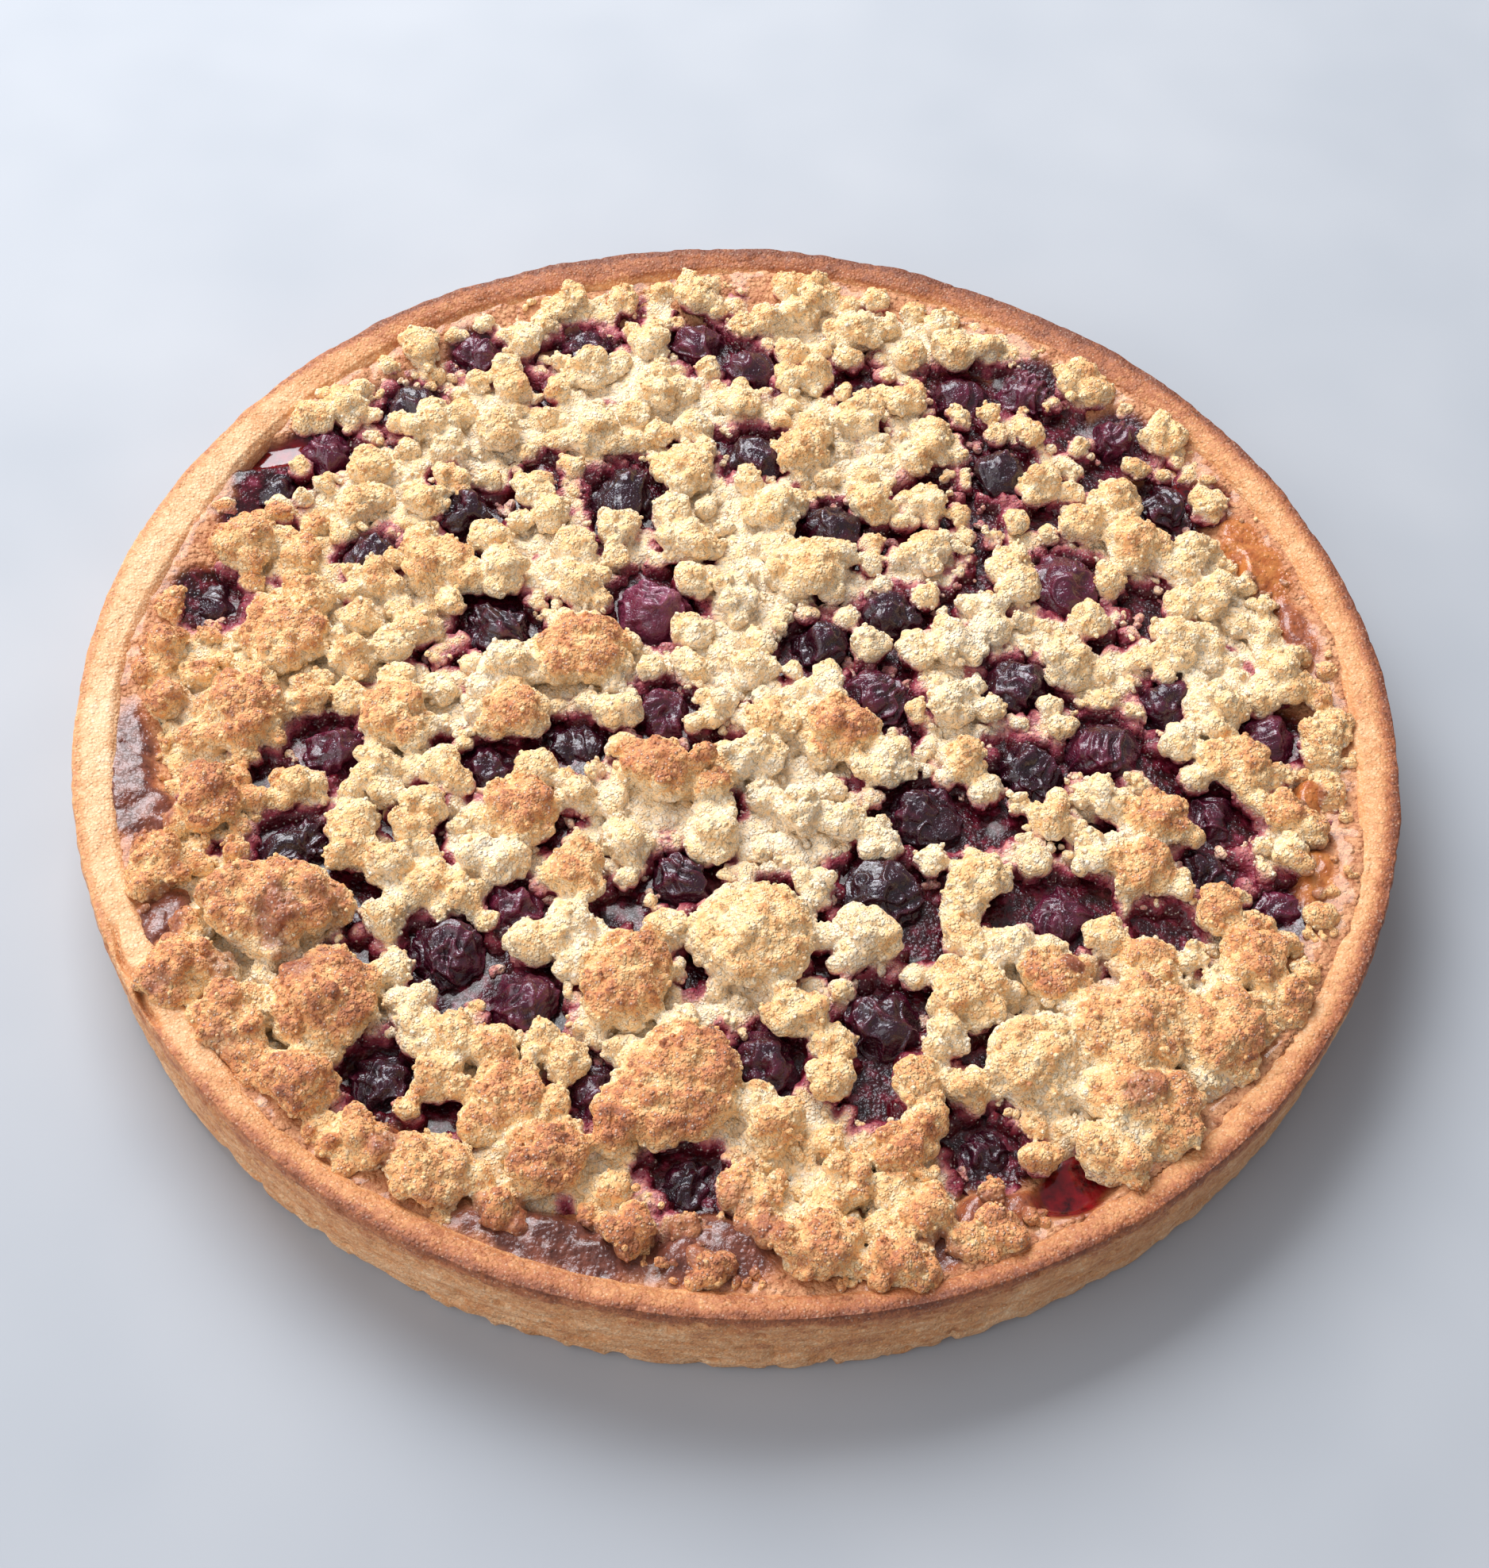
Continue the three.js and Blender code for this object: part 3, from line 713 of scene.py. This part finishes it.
def rim_faults(points):
    """A crack across the rim at the left and a ragged foot with crumbs broken off."""
    x, y, z = points.T
    crack_from, crack_to = np.array([-104.0, -56.0]), np.array([-92.0, -75.0])
    along = crack_to - crack_from
    length = np.hypot(*along)
    along = along / length
    offset = points[:, :2] - crack_from
    far = offset @ along
    side = offset @ np.array([-along[1], along[0]]) + 1.2 * cloud(points, 4.0, 21)
    depth = np.exp(-((side / 0.55) ** 2)) * smooth(-2, 3, far) * (1 - smooth(length - 3, length + 2, far))
    z = z - 1.8 * depth * smooth(RIM_HEIGHT - 6, RIM_HEIGHT - 1, z)
    foot = 1 - smooth(0.3, 3.2, z + cloud(points * (1, 1, 0), 2.0, 23))
    gone = smooth(-0.1, 0.5, cloud(points * (1, 1, 0), 3.0, 22, 2))
    outside = smooth(RIM_RADIUS - 5, RIM_RADIUS - 2, np.hypot(x, y))
    inward = 1 - foot * gone * 0.013 * outside
    return np.stack([x * inward, y * inward, z], 1)


def crust_brown_and_shade(points, azimuth, wall, rim):
    """How brown the crust is, 0 pale to 1 dark, with painted light on the left of the rim and painted shade
    at its front, back and right.
    """
    radius = np.hypot(points[:, 0], points[:, 1])
    edge = np.exp(-(((radius - RIM_RADIUS + 0.9) / 1.1) ** 2)) * rim
    # Painted light: the rim is made paler towards the left.
    left = 0.5 - 0.5 * np.cos(azimuth - math.radians(10))
    streaks = cloud(points / (1.0, 1.0, 0.35), 2.6, 32, 2)
    brown = 0.42 + 0.26 * edge - 0.12 * left * rim + 0.06 * wall + 0.16 * wall * streaks
    level = points[:, 2]
    brown = brown + wall * (0.14 * smooth(14, 20, level) - 0.10 * (1 - smooth(2, 9, level)))
    front = smooth(60, 115, -points[:, 1])
    back = smooth(50, 110, points[:, 1])
    right = smooth(60, 115, points[:, 0])
    outer = smooth(RIM_RADIUS - 4.5, RIM_RADIUS - 2.0, radius)
    # Painted shade: the rim is darkened at the front, the back and the right, most on the right's outer
    # edge.
    rim_side_shade = 0.32 * front + 0.48 * back + (0.24 * outer + 0.06) * right
    return brown + rim_side_shade * rim + 0.1 * cloud(points, 14.0, 31, 2)


# ---- The filling ----


def filling_level(x, y):
    """Height of the filling's surface, with the runs of custard that climb over the topping."""
    radius, azimuth = np.hypot(x, y), np.arctan2(y, x)
    flat = in_plan(x, y)
    rise = smooth(CLIMB_START, inner_radius(azimuth) + 0.5, radius)
    edge = FILLING_EDGE_LEVEL + 0.9 + 0.8 * cloud(flat, 12.0, 44)
    level = FILLING_LEVEL + (edge - FILLING_LEVEL) * rise
    level = level + 0.35 * cloud(flat, 7.0, 41, 2) + 0.35 * rise * cloud(flat, 1.8, 45, 2)
    wobble = 0.35 * cloud(flat, 4.0, 42, 2)
    for run in CUSTARD_RUNS:
        raised = 1 - smooth(0.45, 1.15, turned_reach(x, y, run) + wobble)
        top = run[5] - 0.6 + 0.8 * cloud(flat, 3.0, 43, 2)
        level = level + np.maximum(top - level, 0.0) * raised
    pool = 1 - smooth(0.7, 1.1, jelly_reach(x, y))
    return level + (FILLING_LEVEL + 1.0 - level) * pool


def make_filling(finish):
    step = 0.8
    count = int(2 * RIM_RADIUS / step)
    bpy.ops.mesh.primitive_grid_add(x_subdivisions=count, y_subdivisions=count, size=2 * RIM_RADIUS * MM)
    filling = named("custard_and_juice")
    points = points_of(filling)
    azimuth = np.arctan2(points[:, 1], points[:, 0])
    delete_points(filling, np.hypot(points[:, 0], points[:, 1]) > inner_radius(azimuth) + TUCK + 0.3)
    points = points_of(filling)
    x, y = points[:, 0], points[:, 1]
    points[:, 2] = filling_level(x, y)
    set_points(filling, points)
    close_below(filling, FILLING_FLOOR)
    points = points_of(filling)
    x, y = points[:, :2].T
    wobble = 0.35 * cloud(points, 5.0, 46, 2)
    run_near = run_reach(x, y) + wobble
    juice = 1 - smooth(1.0, 4.0, gap_distance(x, y))
    juice = np.maximum(juice, 1 - smooth(97, 103, np.hypot(x, y))) * smooth(0.8, 1.3, run_near)
    jelly = 1 - smooth(0.75, 1.15, jelly_reach(x, y) + wobble)
    amber = np.full(len(points), 0.6)
    for run in CUSTARD_RUNS:
        inside = 1 - smooth(0.7, 1.2, turned_reach(x, y, run) + wobble)
        amber = amber + (run[6] - amber) * inside
    paint(filling, "juice", juice)
    paint(filling, "jelly", jelly)
    paint(filling, "amber", amber)
    paint(filling, "dry", smooth(0.75, 1.25, run_near) * (1 - np.maximum(juice, jelly)))
    return finish_piece(filling, finish, "filling", "filling")


# ---- The streusel ----

GRID_STEP = 0.82
GRID_HALF = 115.0
GRID_COUNT = int(2 * GRID_HALF / GRID_STEP) + 1


def grid_index(value):
    return np.clip(np.rint((value + GRID_HALF) / GRID_STEP).astype(int), 0, GRID_COUNT - 1)


def raise_map(heights, lumps):
    """Raises a map of heights to the tops of the lumps."""
    line = np.linspace(-GRID_HALF, GRID_HALF, GRID_COUNT)
    for x, y, z, length, width, high, turn in lumps:
        reach = max(length, width)
        left, right = grid_index(np.array([x - reach, x + reach]))
        front, back = grid_index(np.array([y - reach, y + reach]))
        dx = line[left : right + 1][None, :] - x
        dy = line[front : back + 1][:, None] - y
        c, s = math.cos(turn), math.sin(turn)
        out = ((dx * c + dy * s) / length) ** 2 + ((dy * c - dx * s) / width) ** 2
        top = np.where(out < 1, z + high * np.sqrt(np.clip(1 - out, 0, 1)), -99.0)
        window = heights[front : back + 1, left : right + 1]
        np.maximum(window, top, out=window)
    return heights


def blurred(heights, width):
    """The map with every height spread over its neighbours."""
    half = max(1, int(width / GRID_STEP / 2))
    weights = np.hanning(2 * half + 3)[1:-1]
    weights = weights / weights.sum()
    for _ in range(2):
        padded = np.pad(heights, half, mode="edge")
        spread = sum(w * padded[:, k : k + GRID_COUNT] for k, w in enumerate(weights))
        heights = sum(w * spread[k : k + GRID_COUNT] for k, w in enumerate(weights))
    return heights


def jittered(spacing, draw):
    """Places about a spacing apart over the whole tart."""
    count = int(2 * RIM_RADIUS / spacing)
    line = (np.arange(count) + 0.5) * spacing - RIM_RADIUS
    x, y = np.meshgrid(line, line)
    x = x.ravel() + spacing * draw.uniform(-0.45, 0.45, x.size)
    y = y.ravel() + spacing * draw.uniform(-0.45, 0.45, y.size)
    return x, y


def scattered(tries, draw):
    """Random places over the whole tart."""
    return draw.uniform(-RIM_RADIUS, RIM_RADIUS, (2, tries))


def covered(x, y, size):
    """Whether a crumb of that half size may lie there: on the tart, off cherries and gaps."""
    azimuth = np.arctan2(y, x)
    inside = np.hypot(x, y) < inner_radius(azimuth) - bare_edge(azimuth) - 0.6 * size
    flat = in_plan(x, y)
    clear = 0.3 * size + 0.7 + 1.4 * cloud(flat, 6.0, 52)
    free = ((run_reach(x, y) > 0.95) | (cloud(flat, 5.0, 58) > 0.25)) & (jelly_reach(x, y) > 1.0)
    return inside & (gap_distance(x, y) > clear) & free


def bed_lumps(draw):
    """The crumbs that lie packed together on the filling."""
    lumps = []
    for spacing, low, high, level, spread in [(3.8, 2.3, 3.6, 15.2, 1.2), (2.3, 1.0, 1.8, 16.6, 1.4)]:
        x, y = jittered(spacing, draw)
        size = draw.uniform(low, high, x.size)
        z = level + spread * cloud(in_plan(x, y), 13.0, 51, 2) + draw.uniform(-0.7, 0.7, x.size)
        stretch = draw.uniform(0.8, 1.25, x.size)
        turn = draw.uniform(0, math.pi, x.size)
        keep = covered(x, y, size) & (sparseness(x, y) < 0.0)
        lumps.append(np.stack([x, y, z, size * stretch, size / stretch, size * 0.95, turn], 1)[keep])
    return np.concatenate(lumps)


def granules_on(lobe, spacing, low, high, draw):
    """Granules stuck over the upper side of a lobe."""
    x, y, z, length, width, tall, turn = lobe
    count = max(4, int(2.6 * math.pi * length * width / spacing**2))
    up = draw.uniform(-0.3, 1.0, count)
    round_ = draw.uniform(0, 2 * math.pi, count)
    level = np.sqrt(1 - up**2)
    size = draw.uniform(low, high, count)
    deep = 1 - 0.62 * size / max(length, width)
    along, across = level * np.cos(round_) * length * deep, level * np.sin(round_) * width * deep
    c, s = math.cos(turn), math.sin(turn)
    return np.stack([
        x + along * c - across * s, y + along * s + across * c, z + up * tall * deep,
        size * draw.uniform(0.85, 1.2, count), size, size * draw.uniform(0.8, 1.0, count),
        draw.uniform(0, math.pi, count),
    ], 1)  # fmt: skip


def clump_lumps(clump, draw):
    """Lobes of a clump, with the granules that stick to them."""
    x, y, length, width, turn, _ = clump
    top = CLUMP_LEVEL + CLUMP_RISE * length
    turn = math.radians(turn)
    c, s = math.cos(turn), math.sin(turn)
    tall = (top - CLUMP_FOOT) / 2
    lobes = [(x, y, CLUMP_FOOT + tall * 0.7, 0.38 * length, 0.38 * width, tall * 0.9, turn)]
    count = max(5, int(length * width / 15))
    for number in range(count):
        round_ = 2 * math.pi * (number + draw.uniform(-0.3, 0.3)) / count
        reach = draw.uniform(0.45, 0.8) if number % 3 else draw.uniform(0.0, 0.45)
        size = width * draw.uniform(0.19, 0.29) * (1.1 - 0.35 * reach)
        along, across = reach * math.cos(round_) * length / 2, reach * math.sin(round_) * width / 2
        lobe_top = top - (top - CLUMP_FOOT) * 0.42 * reach**2 + draw.uniform(-1.9, 0.7)
        lobes.append((
            x + along * c - across * s, y + along * s + across * c, lobe_top - size * 0.85,
            size * draw.uniform(0.9, 1.3), size, size * 0.9, draw.uniform(0, math.pi),
        ))  # fmt: skip
    grains = [granules_on(lobe, 2.7, 0.9, 2.0, draw) for lobe in lobes]
    return np.concatenate([np.array(lobes)] + grains)


def spare_clumps(draw):
    """More clumps between the named ones, from 9 to 14 mm, where there is room."""
    placed = []
    tries = 1500
    x, y = scattered(tries, draw)
    size = draw.uniform(8.5, 13.5, tries)
    clump_reach = np.min([turned_reach(x, y, clump) for clump in CLUMPS], axis=0)
    allowed = covered(x, y, 0.42 * size) & (clump_reach > 1.45)
    for k in np.flatnonzero(allowed):
        if all(math.hypot(x[k] - a[0], y[k] - a[1]) > 0.55 * (size[k] + a[2]) for a in placed):
            narrow = size[k] * draw.uniform(0.7, 0.9)
            placed.append((x[k], y[k], size[k], narrow, draw.uniform(0, 180), 0.0))
    return placed


def crumb_lumps(others, draw):
    """Single crumbs between the clumps, from 4 to 10 mm, each of a few lobes."""
    placed, lumps = [], []
    tries = 9000
    x, y = scattered(tries, draw)
    size = 2.1 + 2.7 * draw.uniform(0, 1, tries) ** 1.4
    clump_reach = np.min([turned_reach(x, y, clump) for clump in others], axis=0)
    allowed = covered(x, y, size) & (clump_reach > 1.0)
    for k in np.flatnonzero(allowed):
        if all((x[k] - a) ** 2 + (y[k] - b) ** 2 > (0.99 * (size[k] + r)) ** 2 for a, b, r in placed):
            placed.append((x[k], y[k], size[k]))
    for a, b, r in placed:
        level = 17.0 + 0.5 * r + draw.uniform(-0.9, 0.9)
        turn = draw.uniform(0, math.pi)
        body = (a, b, level, r * draw.uniform(0.8, 1.1), r * draw.uniform(0.7, 0.95), r * 0.85, turn)
        parts = [body]
        for _ in range(draw.integers(1, 4)):
            away, lift, share = draw.uniform((0, -0.1, 0.45), (2 * math.pi, 0.35, 0.66))
            parts.append((a + 0.5 * r * math.cos(away), b + 0.5 * r * math.sin(away), level + lift * r,
                          share * r, share * r * 0.9, share * r * 0.9, away))  # fmt: skip
        lumps += [np.array(parts), granules_on(body, 2.6, 0.7, 1.4, draw)]
    return np.concatenate(lumps)


def strewn_lumps(heights, draw):
    """Specks of streusel, from 1 to 4 mm, lying between the crumbs and in the juice, each of a
    few grains that stick together."""
    tries = 5200
    x, y = scattered(tries, draw)
    size = 0.55 + 0.9 * draw.uniform(0, 1, tries) ** 1.8
    azimuth = np.arctan2(y, x)
    short = inner_radius(azimuth) - 0.8 - np.hypot(x, y)
    inside = short > 0
    level = np.maximum(heights[grid_index(y), grid_index(x)], filling_level(x, y))
    free = (run_reach(x, y) > 0.8) & (jelly_reach(x, y) > 0.9)
    beside = gap_distance(x, y)
    near_juice = (beside < 5.0) | (sparseness(x, y) > -0.15)
    wanted = near_juice | (draw.uniform(0, 1, tries) < 0.4) | (short < bare_edge(azimuth) + 3.0)
    keep = np.flatnonzero(inside & free & (level < 20.3) & (beside > 0.5 * size) & wanted)
    lumps = []
    for k in keep:
        for _ in range(draw.integers(1, 5)):
            away, far = draw.uniform(0, 2 * math.pi), draw.uniform(0.0, 1.1) * size[k]
            grain_size = size[k] * draw.uniform(0.6, 1.0)
            lumps.append((
                x[k] + far * math.cos(away), y[k] + far * math.sin(away),
                level[k] + (0.15 + 0.5 * draw.uniform()) * grain_size,
                grain_size * draw.uniform(0.9, 1.35), grain_size * 0.85, grain_size * 0.75, away,
            ))  # fmt: skip
    return np.array(lumps[:GRAINS])


def local_toast(x, y):
    """How brown the streusel got in each part of the tart."""
    toast = 0.23 + 0.12 * cloud(in_plan(x, y), 11.0, 61, 2)
    toast = toast + 0.24 * smooth(62, 100, -y) + 0.27 * smooth(50, 100, -x) * (y < 40)
    toast = toast + 0.05 * smooth(20, 70, y) + 0.14 * smooth(85, 108, x)
    toast = toast - 0.08 * (1 - smooth(20, 60, np.hypot(x - 20, y)))
    for clump in CLUMPS:
        inside = 1 - smooth(0.9, 1.15, turned_reach(x, y, clump))
        toast = toast + (clump[5] - toast) * inside
    return toast


def glaze_on(points, wobble):
    glaze = np.zeros(len(points))
    for x, y, radius, strength in GLAZED_SPOTS:
        reach = np.hypot(points[:, 0] - x, points[:, 1] - y) / radius + 0.5 * wobble
        glaze = np.maximum(glaze, strength * (1 - smooth(0.5, 1.0, reach)))
    return glaze


def stuck_lumps(places, draw):
    """Specks of streusel, about a millimetre wide, stuck to the crumbs at some of the places."""
    place = places[draw.integers(0, len(places), SPECKS)]
    size = draw.uniform(0.3, 0.62, SPECKS)
    long, low = size * draw.uniform(0.8, 1.4, SPECKS), size * draw.uniform(0.7, 1.0, SPECKS)
    return np.column_stack([place, long, size, low, draw.uniform(0, math.pi, SPECKS)])


def dress_streusel(piece, around, finish, *nodes, depth=1.0, soaking=1.0, tone=0.0):
    """Gives a piece of streusel its finest relief and its colours. around is the blurred map."""
    points, normals = points_of(piece), normals_of(piece)
    first, rise = cells(points, 1.75, 71)
    chunk, chunk_rise = cells(points + 0.6 * cloud(points, 1.6, 72)[:, None], 3.7, 73)
    rough = 0.62 * (0.42 - first**2) + 0.42 * (rise - 0.5)
    rough = rough + 0.95 * (0.38 - chunk**2) + 0.60 * (chunk_rise - 0.5)
    pits = smooth(0.42, 0.65, cloud(points, 1.8, 74))
    rough = (rough - 0.35 * pits) * depth
    above = smooth(FILLING_LEVEL - 1.0, FILLING_LEVEL + 0.5, points[:, 2])
    moved = points + normals * (rough * above)[:, None]
    set_points(piece, moved)
    x, y, z = moved.T
    raised = z - around[grid_index(y), grid_index(x)]
    wobble = cloud(points, 3.0, 75, 2)
    toast = local_toast(x, y)
    exposed = smooth(-3.0, 2.5, raised) * (0.55 + 0.45 * smooth(-0.1, 0.9, normals[:, 2]))
    toast = toast * (0.45 + 0.85 * exposed) + 0.15 * wobble * exposed
    toast = toast - 0.10 * (1 - exposed) + 0.10 * (rise - 0.5) + tone
    beside = 1 - smooth(0.5, 6.5, gap_distance(x, y) + 1.5 * wobble)
    near = np.maximum(beside, smooth(-0.28, 0.05, sparseness(x, y)))
    stain = soaking * near * (1.05 - smooth(16.4, 20.6, z + 0.8 * wobble))
    paint(piece, "toast", toast)
    paint(piece, "stain", stain)
    over_run = 1 - smooth(0.75, 1.15, run_reach(x, y) + 0.3 * wobble)
    glaze = np.maximum(glaze_on(moved, wobble), 0.75 * over_run * (1 - smooth(20.5, 22.5, z + wobble)))
    paint(piece, "glaze", glaze)
    return finish_piece(piece, finish, "streusel", *nodes)


def make_bed(heights, around, finish):
    side = 2 * GRID_HALF * MM
    bpy.ops.mesh.primitive_grid_add(
        x_subdivisions=GRID_COUNT - 1, y_subdivisions=GRID_COUNT - 1, size=side
    )
    bed = named("streusel_bed")
    points = points_of(bed)
    azimuth = np.arctan2(points[:, 1], points[:, 0])
    delete_points(bed, np.hypot(points[:, 0], points[:, 1]) > inner_radius(azimuth) + TUCK)
    points = points_of(bed)
    points[:, 2] = heights[grid_index(points[:, 1]), grid_index(points[:, 0])]
    set_points(bed, points)
    close_below(bed, BED_FLOOR - 1.0)
    return dress_streusel(bed, around, finish, "streusel")


def make_streusel(finish):
    draw = np.random.default_rng(7)
    bed = bed_lumps(draw)
    all_clumps = CLUMPS + spare_clumps(draw)
    clumps = [clump_lumps(clump, draw) for clump in all_clumps]
    crumbs = crumb_lumps(all_clumps, draw)
    heights = raise_map(np.full((GRID_COUNT, GRID_COUNT), BED_FLOOR), bed)
    loose = np.concatenate(clumps + [crumbs])
    crowned = raise_map(heights.copy(), loose)
    around = blurred(np.maximum(crowned, FILLING_LEVEL), AROUND)
    make_bed(heights, around, finish)
    sector = ((np.arctan2(loose[:, 1], loose[:, 0]) / (2 * math.pi) + 0.5) * SECTORS).astype(int) % SECTORS
    model = ball(2)
    places = []
    for number in range(SECTORS):
        piece = heap(f"streusel_crumbs_{number + 1}", loose[sector == number], model)
        apply_modifier(piece, "REMESH", mode="VOXEL", voxel_size=VOXEL * MM)
        apply_modifier(piece, "SMOOTH", factor=0.5, iterations=1)
        dress_streusel(piece, around, finish)
        points = points_of(piece)
        places.append(points[(normals_of(piece)[:, 2] > 0.0) & (points[:, 2] > FILLING_LEVEL + 0.5)])
    grains = heap("streusel_grains", strewn_lumps(crowned, draw), model)
    points, normals = points_of(grains), normals_of(grains)
    set_points(grains, points + normals * 0.42 * cloud(points, 0.8, 76)[:, None])
    dress_streusel(grains, around, finish, depth=0.25, soaking=0.38)
    model = ball(1)
    specks = heap("streusel_specks", stuck_lumps(np.concatenate(places), draw), model)
    tone = np.repeat(draw.uniform(-0.22, 0.10, SPECKS), len(model[0]))
    dress_streusel(specks, around, finish, depth=0.0, tone=tone)


# ---- The cherries ----


def wrinkles(around, axis, spacing, seed):
    """Folds that run side by side, wander and part: 1 on a crest and 0 between crests."""
    across = around @ axis + 2.2 * cloud(around, 5.0, seed) + 1.1 * cloud(around, 2.4, seed + 1)
    return (0.5 + 0.5 * np.cos(2 * math.pi * across / spacing)) ** 1.3


def make_cherry(number, place, finish):
    """A cherry shrunk in the oven: slack and dented, with folds in its skin."""
    x, y, z, radius, half_height, _ = place
    draw = np.random.default_rng(200 + number)
    detail = 6 if place[5] >= 13 else 5
    bpy.ops.mesh.primitive_ico_sphere_add(subdivisions=detail, radius=MM)
    cherry = named(f"cherry_skin_{number:02d}")
    unit = points_of(cherry)
    around = unit * radius + draw.uniform(-50, 50, 3)
    axes = draw.normal(0, 1, (2, 3))
    axes = axes / np.linalg.norm(axes, axis=1)[:, None]
    side = smooth(-0.25, 0.25, cloud(around, 8.0, 93))
    main = wrinkles(around, axes[0], 3.4, 101) * side + wrinkles(around, axes[1], 2.6, 103) * (1 - side)
    fine = wrinkles(around, axes[1], 1.3, 105) * (1 - smooth(-0.2, 0.3, cloud(around, 4.0, 94)))
    fold = 1 - smooth(0.0, 0.22, np.abs(cloud(around, 3.2, 98)))
    swell = cloud(around, 7.5, 95, 2)
    dents = smooth(0.05, 0.55, cloud(around, 6.0, 97))
    slack = 0.1 + 0.9 * smooth(-0.35, 0.35, cloud(around, 5.5, 96))
    rough = 1.3 * swell - 1.3 * dents - 0.5 + (0.8 * main + 0.3 * fine) * slack + 0.55 * fold
    size = 1 + rough / radius
    stem = draw.normal(0, 1, 3)
    stem = stem / np.linalg.norm(stem)
    size = size - 0.16 * smooth(0.80, 1.0, unit @ stem)
    points = unit * size[:, None] * (radius, radius, half_height) + (x, y, z)
    set_points(cherry, points)
    red = 0.12 + 0.34 * draw.uniform() ** 1.5 + (0.3 if number in TORN else 0.0)
    paint(cherry, "red", red + 0.2 * main * slack + 0.1 * fold)
    return finish_piece(cherry, finish, "cherry", f"cherry_{number:02d}")


# ---- Floor, light and camera ----


def make_stage():
    bpy.ops.mesh.primitive_plane_add(size=4.0)
    floor = named("floor")
    floor.data.materials.append(floor_finish())


def make_light(name, place, size, power, colour):
    """A square softbox that faces the tart."""
    bpy.ops.object.light_add(type="AREA", location=place)
    light = named(name)
    light.data.size = size
    light.data.energy = power
    light.data.color = colour
    light.rotation_euler = (-Vector(place)).to_track_quat("-Z", "Y").to_euler()


def make_lights():
    make_light("window", (-0.42, 0.72, 0.85), 0.80, 21.5, (0.99, 0.99, 0.99))
    make_light("room", (-0.9, -0.5, 0.6), 1.2, 8.0, (1.0, 0.98, 0.95))
    world = bpy.data.worlds.new("room_light")
    bpy.context.scene.world = world
    world.use_nodes = True
    world.node_tree.nodes["Background"].inputs[0].default_value = (0.98, 0.97, 1.0, 1.0)
    world.node_tree.nodes["Background"].inputs[1].default_value = 0.38


def make_camera():
    """The photograph's viewpoint: from the front and above, leaning a little to the left."""
    place = Vector((0.0, -0.2628, 0.3668))
    pitch, yaw, roll = math.radians(54.76), math.radians(0.323), math.radians(-4.184)
    focal_length_px, long_side_px, sensor = 3000, 1976, 36.0
    ahead = Vector((math.sin(yaw) * math.cos(pitch), math.cos(yaw) * math.cos(pitch), -math.sin(pitch)))
    right = Vector((math.cos(yaw), -math.sin(yaw), 0.0))
    down = ahead.cross(right)
    turned_right = right * math.cos(roll) + down * math.sin(roll)
    turned_down = down * math.cos(roll) - right * math.sin(roll)
    bpy.ops.object.camera_add()
    camera = named("camera")
    axes = Matrix((turned_right, -turned_down, -ahead)).transposed()
    camera.matrix_world = Matrix.Translation(place) @ axes.to_4x4()
    camera.data.sensor_width = sensor
    camera.data.lens = focal_length_px / long_side_px * sensor
    bpy.context.scene.camera = camera


make_camera()
make_stage()
make_lights()
bpy.context.scene.view_settings.view_transform = "Standard"
make_crust(shortcrust_finish())
make_filling(custard_finish())
make_streusel(streusel_finish())
cherry_skin = cherry_finish()
for number, place in enumerate(CHERRIES, 1):
    make_cherry(number, place, cherry_skin)
